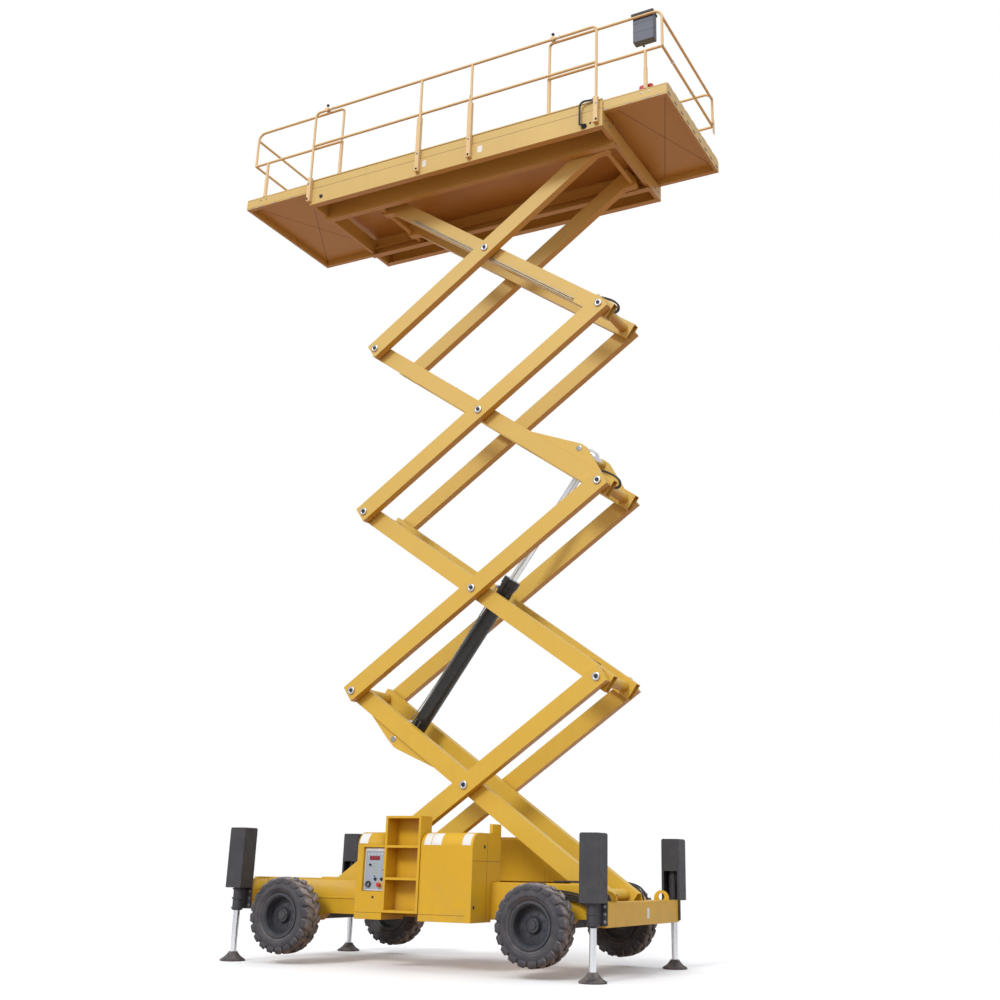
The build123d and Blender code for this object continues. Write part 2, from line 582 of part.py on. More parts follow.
def main_rail(gated):
    """Fixed guardrail of the near side: sockets, posts, top and mid rail."""
    x0, x1 = POSTS["left"], POSTS["right"]
    foot = SOCKET_Z0 + 40
    rail = bent_tube([(x0, -RAIL_Y, foot), (x0, -RAIL_Y, RAIL_TOP_Z), (x1, -RAIL_Y, RAIL_TOP_Z),
                      (x1, -RAIL_Y, foot)], (CORNER_R * 0.6, CORNER_R * 0.6), TUBE_R)
    for name in ("gate_left", "gate_right"):
        rail += rod_z(POSTS[name], -RAIL_Y, TUBE_R, foot, RAIL_TOP_Z)
    spans = (("left", "gate_left"), ("gate_right", "right")) if gated else (("left", "right"),)
    for a, b in spans:
        rail += rod_x(-RAIL_Y, RAIL_MID_Z, TUBE_R, POSTS[a], POSTS[b])
    half = SOCKET / 2
    for name, x in POSTS.items():
        top = GATE_SLEEVE_Z if name.startswith("gate") else PLAT_Z1 + 20
        rail += box(x - half, x + half, -RAIL_Y - half, -PLAT_Y, SOCKET_Z0, top)
    return rail


def gate_bar():
    """Mid rail of the entry, which slides up along its two posts on open clips."""
    x0, x1 = POSTS["gate_left"], POSTS["gate_right"]
    grip = TUBE_R + CLIP_FIT
    bar = rod_x(-RAIL_Y, RAIL_MID_Z, TUBE_R, x0 + grip, x1 - grip)
    for x, a, b in ((x0, x0, x0 + CLIP_R), (x1, x1 - CLIP_R, x1)):
        clip = rod_z(x, -RAIL_Y, CLIP_R, GATE_SLEEVE_Z + CLIP_FIT, RAIL_MID_Z + CLIP_RISE)
        clip &= box(a, b, -RAIL_Y - CLIP_R, -RAIL_Y + CLIP_R, GATE_SLEEVE_Z, RAIL_MID_Z + CLIP_RISE)
        bar += clip
    for x in (x0, x1):
        bar -= rod_z(x, -RAIL_Y, grip, GATE_SLEEVE_Z, RAIL_MID_Z + CLIP_RISE + 1)
    return bar


def extension_rail(side):
    """U-shaped guardrail of one extension: two side loops and the end loop."""
    inner, stub, end = EXT_POSTS[side]
    y = EXT_RAIL_Y
    foot = EXT_Z1
    loop = bent_tube([(inner, -y, foot), (inner, -y, RAIL_TOP_Z - 4), (end, -y, RAIL_TOP_Z - 4),
                      (end, -y, RAIL_MID_Z)],
                     (CORNER_R * 0.5, CORNER_R), TUBE_R)
    loop += rod_x(-y, RAIL_MID_Z, TUBE_R, min(inner, end), max(inner, end))
    loop += rod_z(inner, -y, POST_R + 5, foot, RAIL_MID_Z)
    loop += rod_z(stub, -y, POST_R, foot, RAIL_MID_Z)
    loop += far(loop)
    loop += rod_y(end, RAIL_MID_Z, TUBE_R, -y, y)
    loop += rod_y(end, RAIL_TOP_Z - 4 - CORNER_R * 0.9, TUBE_R, -y, y)
    return loop


def control_box():
    """Upper controls, hung inside the near rail of the right extension."""
    x0, x1 = CONTROLS_X0, CONTROLS_X1
    y0 = -EXT_RAIL_Y + TUBE_R + CLIP_FIT
    top = RAIL_TOP_Z + CONTROLS_HOOD
    body = box(x0, x1, y0, y0 + CONTROLS_D, CONTROLS_Z0, top)
    return body + box(x0 - 6, x1 + 6, -EXT_RAIL_Y - TUBE_R, y0 + CONTROLS_D + 6, RAIL_TOP_Z + TUBE_R, top)


def platform_hose():
    """Loop from a gland on the right post's socket down to one on the side beam."""
    post_x = POSTS["right"] - SOCKET / 2
    y_low = -PLAT_Y - GLAND_OUT - 2 * HOSE_R
    points = [(post_x - GLAND_OUT / 2, -RAIL_Y, HOSE_TOP_Z), (HOSE_BULGE_X, y_low, HOSE_TOP_Z),
              (HOSE_BULGE_X, y_low, HOSE_LOW_Z), (HOSE_LOW_X, y_low, HOSE_LOW_Z),
              (HOSE_LOW_X, -PLAT_Y, HOSE_LOW_Z)]
    hose = bent_tube(points, (70, 14, 13), HOSE_R)
    hose += rod_x(-RAIL_Y, HOSE_TOP_Z, HOSE_GLAND_R, post_x - GLAND_OUT, post_x)
    hose += rod_y(HOSE_LOW_X, HOSE_LOW_Z, HOSE_GLAND_R, -PLAT_Y - GLAND_OUT, -PLAT_Y)
    return hose


# ---------------------------------------------------------------- build
def build():
    os.makedirs("parts", exist_ok=True)
    write("chassis_frame", chassis_frame())
    write("rear_axle", axle(AXLE_LEFT_X, False))
    write("steer_axle", axle(AXLE_RIGHT_X, True))
    write("control_housing", housing(HOUSING_X0, LADDER_X0 - SPLIT))
    write("power_housing", housing(LADDER_X1 + SPLIT, HOUSING_X1))
    write("far_housing", far(housing(HOUSING_X0, HOUSING_X1)))
    write("ladder", ladder())
    for end, x in (("left", STAB_LEFT_X), ("right", STAB_RIGHT_X)):
        write(f"column_{end}_near", column(x))
        write(f"column_{end}_far", far(column(x)))
        write(f"leg_{end}_near", leg(x))
        write(f"leg_{end}_far", far(leg(x)))
    tyre_shape = tyre()
    rim_shape = rim()
    for end, x in (("left", AXLE_LEFT_X), ("right", AXLE_RIGHT_X)):
        place = Pos(x, -hub_mid(), HUB_Z)
        write(f"tyre_{end}_near", place * tyre_shape)
        write(f"tyre_{end}_far", far(place * tyre_shape))
        write(f"rim_{end}_near", place * rim_shape)
        write(f"rim_{end}_far", far(place * rim_shape))
    write("knuckle_near", knuckle())
    write("knuckle_far", far(knuckle()))
    for stage in range(1, 5):
        write(f"outer_arms_{stage}", outer_frame(stage))
        write(f"inner_arms_{stage}", inner_frame(stage))
    barrel, rod = cylinder_pieces()
    write("cylinder_barrel", barrel)
    write("cylinder_rod", rod)
    write("platform_frame", platform_frame())
    write("main_deck", main_deck())
    write("extension_left", extension(-1))
    write("extension_right", extension(1))
    write("guardrail_near", main_rail(True))
    write("guardrail_far", far(main_rail(False)))
    write("gate_bar", gate_bar())
    write("extension_rail_left", extension_rail(-1))
    write("extension_rail_right", extension_rail(1))
    write("platform_controls", control_box())
    write("platform_hose", platform_hose())


build()
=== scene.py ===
"""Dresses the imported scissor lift: finishes, fittings, hoses, light and camera. Metres, the CAD's own frame."""

import json
import math

import bmesh
import bpy
from mathutils import Matrix, Vector


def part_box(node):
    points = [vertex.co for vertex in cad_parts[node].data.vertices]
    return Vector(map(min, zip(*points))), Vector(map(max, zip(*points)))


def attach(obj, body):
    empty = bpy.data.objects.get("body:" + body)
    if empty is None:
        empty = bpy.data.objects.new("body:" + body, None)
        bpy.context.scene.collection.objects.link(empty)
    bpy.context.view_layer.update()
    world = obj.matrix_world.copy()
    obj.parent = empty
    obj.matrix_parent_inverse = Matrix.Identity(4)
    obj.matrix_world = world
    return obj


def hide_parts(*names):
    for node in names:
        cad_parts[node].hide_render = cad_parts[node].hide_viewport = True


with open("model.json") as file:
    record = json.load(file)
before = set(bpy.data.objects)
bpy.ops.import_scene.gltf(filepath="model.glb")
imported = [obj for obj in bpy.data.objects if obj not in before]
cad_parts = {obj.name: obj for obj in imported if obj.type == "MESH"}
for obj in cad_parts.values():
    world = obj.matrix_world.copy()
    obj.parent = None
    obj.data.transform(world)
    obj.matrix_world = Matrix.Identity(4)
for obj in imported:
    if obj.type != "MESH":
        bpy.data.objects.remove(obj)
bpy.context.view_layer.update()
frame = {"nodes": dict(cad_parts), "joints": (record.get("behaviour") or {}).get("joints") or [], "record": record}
JOINTS = {joint["name"]: joint for joint in frame["joints"]}

# ---------------------------------------------------------------- colours (linear)
YELLOW_BASE = (0.68, 0.4, 0.018)
YELLOW_ARM = (0.68, 0.435, 0.05)
YELLOW_ARM_HIGH = (0.67, 0.49, 0.165)
YELLOW_UPPER = (0.67, 0.485, 0.165)
YELLOW_RAIL = (0.76, 0.56, 0.29)
CHARCOAL = (0.04, 0.04, 0.05)
BLACK = (0.014, 0.014, 0.016)
DUST = (0.27, 0.21, 0.15)
WHITE = (0.8, 0.8, 0.78)


# ---------------------------------------------------------------- shader helpers
class Shader:
    """One node material, or a world given as holder, built socket by socket."""

    def __init__(self, name, holder=None):
        self.material = holder or bpy.data.materials.new(name)
        self.material.use_nodes = True
        self.tree = self.material.node_tree
        self.tree.nodes.clear()
        self.coords = self.add("ShaderNodeTexCoord").outputs

    def add(self, kind, **values):
        """Adds a node; values are its properties, or its inputs by name with _ for a space."""
        node = self.tree.nodes.new(kind)
        for key, value in values.items():
            socket = node.inputs.get(key.replace("_", " ")) if key not in dir(node) else None
            if socket is None:
                setattr(node, key, value)
            else:
                self.feed(socket, value)
        return node

    def feed(self, socket, value):
        if isinstance(value, bpy.types.NodeSocket):
            self.tree.links.new(value, socket)
        elif isinstance(value, tuple) and len(value) == 3 and socket.type == "RGBA":
            socket.default_value = (*value, 1.0)
        else:
            socket.default_value = value

    def noise(self, scale, detail=4.0, roughness=0.55, stretch=(1, 1, 1)):
        place = self.add("ShaderNodeMapping", Vector=self.coords["Object"], Scale=stretch)
        return self.add("ShaderNodeTexNoise", Vector=place.outputs[0],
            Scale=scale, Detail=detail, Roughness=roughness).outputs["Fac"]

    def ramp(self, value, low, high, to_low=0.0, to_high=1.0):
        node = self.add("ShaderNodeMapRange", Value=value)
        for socket, number in zip(list(node.inputs)[1:5], (low, high, to_low, to_high)):
            socket.default_value = number
        return node.outputs[0]

    def math(self, operation, a, b):
        node = self.add("ShaderNodeMath", operation=operation)
        self.feed(node.inputs[0], a)
        self.feed(node.inputs[1], b)
        return node.outputs[0]

    def mix(self, factor, a, b, blend="MIX"):
        node = self.add("ShaderNodeMix", data_type="RGBA", blend_type=blend)
        self.feed(node.inputs[0], factor)
        self.feed(node.inputs[6], a)
        self.feed(node.inputs[7], b)
        return node.outputs[2]

    def axis(self, output, letter):
        return self.add("ShaderNodeSeparateXYZ", Vector=self.coords[output]).outputs[letter]

    def bump(self, height, distance, strength=1.0, normal=None):
        node = self.add("ShaderNodeBump", Height=height, Distance=distance, Strength=strength)
        if normal is not None:
            self.feed(node.inputs["Normal"], normal)
        return node.outputs[0]

    def layered(self, factor, one, two):
        """Mixes two shader nodes."""
        node = self.add("ShaderNodeMixShader")
        for socket, source in zip(node.inputs, (factor, one.outputs[0], two.outputs[0])):
            self.tree.links.new(source, socket)
        return node

    def surface(self, shader, kind="ShaderNodeOutputMaterial"):
        self.tree.links.new(shader.outputs[0], self.add(kind).inputs["Surface"])
        return self.material

    def finish(self, **principled):
        shader = self.add("ShaderNodeBsdfPrincipled")
        for key, value in principled.items():
            self.feed(shader.inputs[key.replace("_", " ")], value)
        return self.surface(shader)


def shade(color, k):
    return tuple(c * k for c in color)


def paint(name, color, rough=0.4, dust=0.0, edge=0.004, wear=1.0, faded=None):
    """Sprayed paint: broad fading, orange peel, rain streaks, painted shade in corners, and painted shade darkening
    and browning the underside.
    """
    # wear scales the random tone and the streaks, and also the painted shade in corners and underneath
    s = Shader(name)
    broad = s.ramp(s.noise(0.8, 2), 0.35, 0.65)
    tone = s.mix(broad, shade(color, 1.0 - 0.07 * wear), color)
    streak = s.ramp(s.noise(4.0, 2, 0.5, (3.0, 3.0, 0.3)), 0.52, 0.8, 0.0, 0.2 * wear)
    tone = s.mix(streak, tone, shade(color, 0.78))
    if faded:
        tone = s.mix(s.ramp(s.axis("Object", "Z"), 2.5, 8.5), tone, faded)
    # painted shade: ambient occlusion darkens and browns the paint in corners and recesses
    corner = s.add("ShaderNodeAmbientOcclusion", samples=6, Distance=0.08).outputs["AO"]
    corner_shade = s.ramp(corner, 0.25, 0.8, 0.45 * wear, 0.0)
    tone = s.mix(corner_shade, tone, (color[0] * 0.6, color[1] * 0.45, color[2] * 0.5))
    # painted shade: faces turned downwards are darkened and browned
    below = s.ramp(s.axis("Normal", "Z"), -0.9, -0.2, 0.75 * wear, 0.0)
    tone = s.mix(below, tone, (color[0] * 0.8, color[1] * 0.56, color[2] * 0.42))
    if dust:
        low = s.ramp(s.axis("Object", "Z"), 0.3, 1.1, dust, 0.0)
        dusty = s.math("MULTIPLY", low, s.ramp(s.noise(7.0, 5), 0.4, 0.75))
        tone = s.mix(dusty, tone, DUST)
    gloss = s.ramp(s.noise(30.0, 3), 0.3, 0.7, rough - 0.03, rough + 0.05)
    round_edge = s.add("ShaderNodeBevel", samples=4, Radius=edge).outputs[0]
    skin = s.bump(s.noise(260.0, 2), 0.0004, 0.15, round_edge)
    return s.finish(Base_Color=tone, Roughness=gloss, Normal=skin, Specular_IOR_Level=0.38)


def dark_paint(name, color, rough=0.5, dust=0.35):
    s = Shader(name)
    tone = s.mix(s.ramp(s.noise(2.2, 5), 0.3, 0.7), shade(color, 0.75), color)
    scratch = s.ramp(s.noise(30.0, 4, 0.7, (0.15, 1.0, 1.0)), 0.68, 0.78, 0.0, 0.3)
    tone = s.mix(scratch, tone, tuple(c * 2.4 + 0.02 for c in color))
    dusty = s.ramp(s.noise(9.0, 7, 0.65), 0.45, 0.8, 0.0, dust)
    tone = s.mix(dusty, tone, DUST)
    gloss = s.ramp(s.noise(22.0, 5), 0.3, 0.7, rough - 0.08, rough + 0.12)
    round_edge = s.add("ShaderNodeBevel", samples=4, Radius=0.003).outputs[0]
    skin = s.bump(s.noise(180.0, 2), 0.0006, 0.3, round_edge)
    return s.finish(Base_Color=tone, Roughness=gloss, Normal=skin)


def rubber_tyre(name):
    """Dry dust on the lugs and the tread, darker scuffed side walls with fine rings, and painted shade in the gaps
    and corners.
    """
    s = Shader(name)
    across = s.math("ABSOLUTE", s.axis("Normal", "Y"), 0.0)
    tread = s.ramp(across, 0.25, 0.85, 1.0, 0.12)
    patch = s.ramp(s.noise(9.0, 7, 0.62), 0.26, 0.6)
    dusty = s.math("MULTIPLY", tread, patch)
    tone = s.mix(s.noise(3.0, 4), (0.036, 0.039, 0.05), (0.06, 0.064, 0.08))
    tone = s.mix(dusty, tone, (0.36, 0.315, 0.3))
    # painted shade: ambient occlusion darkens the gaps between the lugs and the corners
    corner = s.add("ShaderNodeAmbientOcclusion", samples=4, Distance=0.03).outputs["AO"]
    tone = s.mix(s.ramp(corner, 0.3, 0.85, 0.85, 0.0), tone, (0.034, 0.027, 0.026))
    skin = s.bump(s.noise(120.0, 6), 0.0015, 0.5)
    return s.finish(Base_Color=tone, Roughness=0.86, Normal=skin, Specular_IOR_Level=0.3)


def metal(name, color, rough, grain=(1, 1, 1)):
    s = Shader(name)
    tone = s.mix(s.ramp(s.noise(12.0, 5, 0.6, grain), 0.35, 0.65), shade(color, 0.8), color)
    gloss = s.ramp(s.noise(40.0, 5, 0.6, grain), 0.3, 0.7, rough * 0.7, rough * 1.4)
    skin = s.bump(s.noise(300.0, 3, 0.6, grain), 0.0003, 0.3)
    return s.finish(Base_Color=tone, Metallic=1.0, Roughness=gloss, Normal=skin)


def jack_rod(name):
    """Chromed rod above, its round foot painted dark and trodden with dust."""
    s = Shader(name)
    foot = s.ramp(s.axis("Object", "Z"), 0.092, 0.098, 1.0, 0.0)
    chrome = s.mix(s.ramp(s.noise(12.0, 5, 0.6, (1, 1, 0.1)), 0.35, 0.65), (0.66, 0.67, 0.69), (0.82, 0.83, 0.85))
    dusty = s.ramp(s.noise(14.0, 7, 0.65), 0.36, 0.66)
    painted = s.mix(dusty, (0.04, 0.037, 0.042), (0.2, 0.165, 0.15))
    tone = s.mix(foot, chrome, painted)
    metallic = s.math("SUBTRACT", 1.0, foot)
    gloss = s.ramp(foot, 0.0, 1.0, 0.24, 0.72)
    skin = s.bump(s.noise(90.0, 5), 0.0008, 0.3)
    return s.finish(Base_Color=tone, Metallic=metallic, Roughness=gloss, Normal=skin)


def deck_plate(name, under):
    """Raised bars on bare plate above, worn bright on top; below and on its edges, its frame's paint darkened and
    browned as painted shade.
    """
    s = Shader(name)
    bars = []
    for angle in (45, -45):
        turned = s.add("ShaderNodeMapping", Vector=s.coords["Object"], Rotation=(0, 0, math.radians(angle)))
        parts = s.add("ShaderNodeSeparateXYZ", Vector=turned.outputs[0])
        along = s.math("PINGPONG", parts.outputs["X"], 0.028)
        across = s.math("PINGPONG", parts.outputs["Y"], 0.028)
        bar = s.math("MULTIPLY", s.ramp(along, 0.01, 0.014, 0.0, 1.0), s.ramp(across, 0.003, 0.006, 1.0, 0.0))
        bars.append(bar)
    top = s.ramp(s.axis("Normal", "Z"), 0.4, 0.6)
    pattern = s.math("MULTIPLY", s.math("MAXIMUM", bars[0], bars[1]), top)
    tone = s.mix(pattern, (0.3, 0.3, 0.29), (0.56, 0.56, 0.55))
    tone = s.mix(s.ramp(s.noise(1.8, 6), 0.4, 0.7, 0.0, 0.5), tone, (0.2, 0.18, 0.16))
    # painted shade: the faces not turned up get the frame's paint, darkened and browned
    low = s.mix(s.ramp(s.noise(1.1, 4), 0.35, 0.7), (under[0] * 0.68, under[1] * 0.45, under[2] * 0.34),
        (under[0] * 0.84, under[1] * 0.58, under[2] * 0.42))
    tone = s.mix(top, low, tone)
    metallic = s.ramp(top, 0.0, 1.0, 0.0, 0.85)
    skin = s.bump(pattern, 0.0015, 1.0)
    return s.finish(Base_Color=tone, Metallic=metallic, Roughness=0.44, Normal=skin)


def plain_rubber(name, color=(0.014, 0.014, 0.016), rough=0.55):
    s = Shader(name)
    tone = s.mix(s.ramp(s.noise(16.0, 5), 0.35, 0.7), color, tuple(c * 1.9 + 0.006 for c in color))
    skin = s.bump(s.noise(400.0, 3), 0.0004, 0.4)
    return s.finish(Base_Color=tone, Roughness=rough, Normal=skin)


def moulded(name, color, rough=0.5):
    s = Shader(name)
    tone = s.mix(s.ramp(s.noise(6.0, 4), 0.3, 0.7), shade(color, 0.86), color)
    dusty = s.ramp(s.noise(11.0, 6), 0.5, 0.85, 0.0, 0.25)
    tone = s.mix(dusty, tone, tuple(0.6 * c + 0.4 * d for c, d in zip(color, DUST)))
    skin = s.bump(s.noise(500.0, 2), 0.0004, 0.4)
    return s.finish(Base_Color=tone, Roughness=rough, Normal=skin)


FINISH = {
    "base_paint": paint("base_paint", YELLOW_BASE, dust=0.3),
    "arm_paint": paint("arm_paint", YELLOW_ARM, faded=YELLOW_ARM_HIGH),
    "upper_paint": paint("upper_paint", YELLOW_UPPER),
    "rail_paint": paint("rail_paint", YELLOW_RAIL, rough=0.42, edge=0.002, wear=0.35),
    "charcoal_paint": dark_paint("charcoal_paint", CHARCOAL, 0.55, 0.1),
    "black_paint": dark_paint("black_paint", BLACK, 0.3, 0.1),
    "dark_metal": dark_paint("dark_metal", (0.03, 0.03, 0.032), 0.55, 0.5),
    "rim_paint": dark_paint("rim_paint", (0.042, 0.046, 0.06), 0.42, 0.14),
    "tyre": rubber_tyre("tyre"),
    "chrome_rod": jack_rod("chrome_rod"),
    "deck": deck_plate("deck", YELLOW_UPPER),
    "hose_rubber": plain_rubber("hose_rubber"),
    "grey_plastic": moulded("grey_plastic", (0.115, 0.135, 0.185)),
    "panel_face": moulded("panel_face", (0.36, 0.42, 0.5), 0.45),
}
EXTRA = {name: make(name, color, rough) for make, name, color, rough in (
    (metal, "steel", (0.66, 0.66, 0.66), 0.3),
    (metal, "bolt", (0.42, 0.41, 0.4), 0.38),
    (metal, "bronze", (0.55, 0.3, 0.13), 0.42),
    (moulded, "dark", (0.012, 0.012, 0.015), 0.5),
    (moulded, "label", WHITE, 0.45),
    (moulded, "red", (0.5, 0.02, 0.018), 0.35),
    (moulded, "signal_yellow", (0.75, 0.48, 0.02), 0.4),
    (moulded, "display", (0.2, 0.01, 0.03), 0.25),
    (moulded, "lamp", (0.75, 0.77, 0.8), 0.2),
    (moulded, "green", (0.3, 0.42, 0.1), 0.4),
    (moulded, "cord_white", (0.62, 0.6, 0.56), 0.7),
    (metal, "pipe", (0.6, 0.56, 0.46), 0.42),
    # painted shade: dark brown for the shade in creases, grooves and under lips
    (moulded, "crease", (0.2, 0.095, 0.04), 0.6),
    (moulded, "worn", (0.4, 0.38, 0.36), 0.5),
)}

SLOTS = {part["node"]: part["material_slot"] for part in frame["record"]["subparts"]}
for node_name, cad in frame["nodes"].items():
    cad.data.materials.clear()
    cad.data.materials.append(FINISH[SLOTS[node_name]])


# along the machine, towards its far side, upwards, and towards the ladder's side
ALONG, ACROSS, UP, NEAR = (1, 0, 0), (0, 1, 0), (0, 0, 1), (0, -1, 0)


# ---------------------------------------------------------------- piece helpers
def placed(name, data):
    """A new object in the scene."""
    made = bpy.data.objects.new(name, data)
    bpy.context.scene.collection.objects.link(made)
    return made


def mesh_of(bm, name):
    """A mesh made from a bmesh, which is then freed."""
    mesh = bpy.data.meshes.new(name)
    bm.to_mesh(mesh)
    bm.free()
    return mesh


def shade_smooth(mesh, angle):
    """Smooth shading that stays sharp where faces meet at more than angle degrees."""
    mesh.polygons.foreach_set("use_smooth", [True] * len(mesh.polygons))
    mesh.set_sharp_from_angle(angle=math.radians(angle))


class Piece:
    """One mesh piece, filled with turned, extruded and boxed forms and then given to a body."""

    def __init__(self, name):
        self.name = name
        self.bm = bmesh.new()

    def turned(self, origin, axis, profile, segments=24):
        """Revolves (radius, height) pairs about an axis; a radius of 0 closes the form."""
        turn = Vector(axis).to_track_quat("Z", "Y").to_matrix()
        origin = Vector(origin)
        rings = []
        for r, h in profile:
            steps = 1 if r == 0 else segments
            ring = []
            for i in range(steps):
                a = 2 * math.pi * i / segments
                ring.append(self.bm.verts.new(origin + turn @ Vector((r * math.cos(a), r * math.sin(a), h))))
            rings.append(ring)
        for low, high in zip(rings, rings[1:]):
            for i in range(segments):
                a, b = low[i % len(low)], low[(i + 1) % len(low)]
                c, d = high[(i + 1) % len(high)], high[i % len(high)]
                corners = [v for k, v in enumerate((a, b, c, d)) if v not in (a, b, c, d)[:k]]
                if len(corners) > 2:
                    self.bm.faces.new(corners)
        return self

    def prism(self, outline, origin, across, up, depth):
        """Extrudes a closed (a, b) outline lying in the across-up plane along its normal by depth."""
        across, up = Vector(across).normalized(), Vector(up).normalized()
        out = across.cross(up)
        origin = Vector(origin)
        front = [self.bm.verts.new(origin + across * a + up * b + out * depth) for a, b in outline]
        back = [self.bm.verts.new(origin + across * a + up * b) for a, b in outline]
        self.bm.faces.new(front)
        self.bm.faces.new(list(reversed(back)))
        for i in range(len(outline)):
            j = (i + 1) % len(outline)
            self.bm.faces.new((back[i], back[j], front[j], front[i]))
        return self

    def block(self, low, high):
        x0, y0, z0 = low
        x1, y1, z1 = high
        outline = [(0, 0), (x1 - x0, 0), (x1 - x0, z1 - z0), (0, z1 - z0)]
        return self.prism(outline, (x0, y1, z0), ALONG, UP, y1 - y0)

    def panel(self, at, width, height, r, depth, across=ALONG, up=UP, steps=3):
        """Extrudes a rectangle with round corners; as it stands, it faces the ladder side."""
        return self.prism(rounded(width, height, r, steps), at, across, up, depth)

    def mirrored_block(self, side, low, high):
        """A block given for the far side, on the side of the machine that is asked for."""
        y0, y1 = sorted((side * low[1], side * high[1]))
        return self.block((low[0], y0, low[2]), (high[0], y1, high[2]))

    def build(self, body, finish, bevel=0.0, angle=35.0):
        """Makes the object, with a finish by name and a soft bevel on its edges."""
        bmesh.ops.recalc_face_normals(self.bm, faces=self.bm.faces)
        mesh = mesh_of(self.bm, self.name)
        shade_smooth(mesh, angle)
        piece = placed(self.name, mesh)
        mesh.materials.append(EXTRA.get(finish) or FINISH[finish])
        if bevel:
            soften = piece.modifiers.new("bevel", "BEVEL")
            soften.width = bevel
            soften.segments = 2
            soften.limit_method = "ANGLE"
        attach(piece, body)
        return piece


def rounded(width, height, r, steps=5):
    """Outline of a rectangle with round corners, centred."""
    points = []
    for cx, cy, start in ((1, 1, 0), (-1, 1, 90), (-1, -1, 180), (1, -1, 270)):
        for i in range(steps + 1):
            a = math.radians(start + 90 * i / steps)
            points.append((cx * (width / 2 - r) + r * math.cos(a), cy * (height / 2 - r) + r * math.sin(a)))
    return points


def tube(name, points, r, body, finish):
    """Hose, pipe or cord along one smooth NURBS line."""
    curve = bpy.data.curves.new(name, "CURVE")
    curve.dimensions = "3D"
    curve.bevel_depth = r
    curve.bevel_resolution = 3
    curve.resolution_u = 10
    curve.use_fill_caps = True
    spline = curve.splines.new("NURBS")
    spline.points.add(len(points) - 1)
    for point, place in zip(spline.points, points):
        point.co = (*place, 1.0)
    spline.order_u = 3
    spline.use_endpoint_u = True
    curve.materials.append(EXTRA.get(finish) or FINISH[finish])
    line = placed(name, curve)
    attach(line, body)
    return line


def carved(node, name, body, cutters):
    """The CAD node's own form with closed cutter pieces taken away, in the node's place."""
    cad = frame["nodes"][node]
    bm = bmesh.new()
    bm.from_mesh(cad.data)
    bmesh.ops.remove_doubles(bm, verts=bm.verts, dist=1e-6)
    piece = placed(name, mesh_of(bm, name))
    piece.matrix_world = cad.matrix_world.copy()
    tools = []
    for cutter in cutters:
        bmesh.ops.recalc_face_normals(cutter.bm, faces=cutter.bm.faces)
        tools.append(placed(cutter.name, mesh_of(cutter.bm, cutter.name)))
        taken = piece.modifiers.new(cutter.name, "BOOLEAN")
        taken.operation, taken.solver, taken.object = "DIFFERENCE", "EXACT", tools[-1]
    bpy.context.view_layer.update()
    result = bpy.data.meshes.new_from_object(piece.evaluated_get(bpy.context.evaluated_depsgraph_get()))
    piece.modifiers.clear()
    piece.data = result
    for tool in tools:
        bpy.data.objects.remove(tool)
    result.materials.clear()
    result.materials.append(FINISH[SLOTS[node]])
    shade_smooth(result, 30)
    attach(piece, body)
    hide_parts(node)


def low(node):
    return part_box(node)[0]


def high(node):
    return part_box(node)[1]


def bolt(piece, at, axis, r=0.012):
    """Washer and hexagon head standing out along axis."""
    piece.turned(at, axis, [(r * 1.45, -0.001), (r * 1.45, r * 0.22), (r * 0.9, r * 0.26)], 20)
    piece.turned(at, axis, [(r, r * 0.2), (r, r * 0.75), (r * 0.86, r * 0.9), (0, r * 0.9)], 6)


# ---------------------------------------------------------------- places from the frame
BASE_X, _, BASE_Z = JOINTS["scissor_raise"]["pos_m"]
LEFT_X, _, LEFT_Z = JOINTS["scissor_left_1"]["pos_m"]
RISE = LEFT_Z - BASE_Z
TILT = math.atan2(RISE, BASE_X - LEFT_X)
ARM_L = math.hypot(BASE_X - LEFT_X, RISE)
HEAD_FACE = 0.492
INNER_FACE, INNER_IN = 0.36, 0.26
SIDES = (("near", -1), ("far", 1))


def arm_place(kind, stage, along, rise, y):
    """A point of an arm: along it from its left pin, square to it, and across the machine."""
    tilt = TILT if kind == "outer" else -TILT
    z = BASE_Z + (stage - 1 if kind == "outer" else stage) * RISE
    return (LEFT_X + along * math.cos(tilt) - rise * math.sin(tilt),
        y, z + along * math.sin(tilt) + rise * math.cos(tilt))


# ---------------------------------------------------------------- scissor stack fittings
def pin_caps():
    """Turned rings with dark centres over the pin heads."""
    ring = [(0.0235, -0.0002), (0.024, 0.0038), (0.0262, 0.0048), (0.0415, 0.0048), (0.0447, 0.0026),
        (0.0447, -0.003)]
    for kind in ("outer", "inner"):
        for stage in range(1, 5):
            caps, centres = Piece(f"pin_rings_{kind}_{stage}"), Piece(f"pin_centres_{kind}_{stage}")
            if kind == "inner":
                spots = [ARM_L / 2]
            else:
                spots = [0.0, ARM_L] if stage < 4 else [0.0]
            for along in spots:
                for _, side in SIDES:
                    at = arm_place(kind, stage, along, 0.0, side * HEAD_FACE)
                    caps.turned(at, (0, side, 0), ring, 40)
                    centres.turned(at, (0, side, 0), [(0.024, -0.0002), (0.024, 0.0004), (0, 0.0004)], 28)
                    centres.turned(at, (0, side, 0), [(0.011, 0.0), (0.011, 0.0036), (0.009, 0.0042), (0, 0.0042)], 6)
            caps.build(f"{kind}_arms_{stage}", "steel")
            centres.build(f"{kind}_arms_{stage}", "dark")


def bushes():
    """Bronze bushes that show where shafts leave the open ends of the inner arms."""
    for stage in range(1, 5):
        rings = Piece(f"bushes_{stage}")
        for _, side in SIDES:
            at = arm_place("inner", stage, ARM_L, 0.0, side * (INNER_FACE + 0.0015))
            rings.turned(at, (0, side, 0), [(0.031, 0.0), (0.031, 0.0035), (0.043, 0.0035), (0.045, 0.002),
                (0.045, -0.001)], 32)
        rings.build(f"inner_arms_{stage}", "bronze")


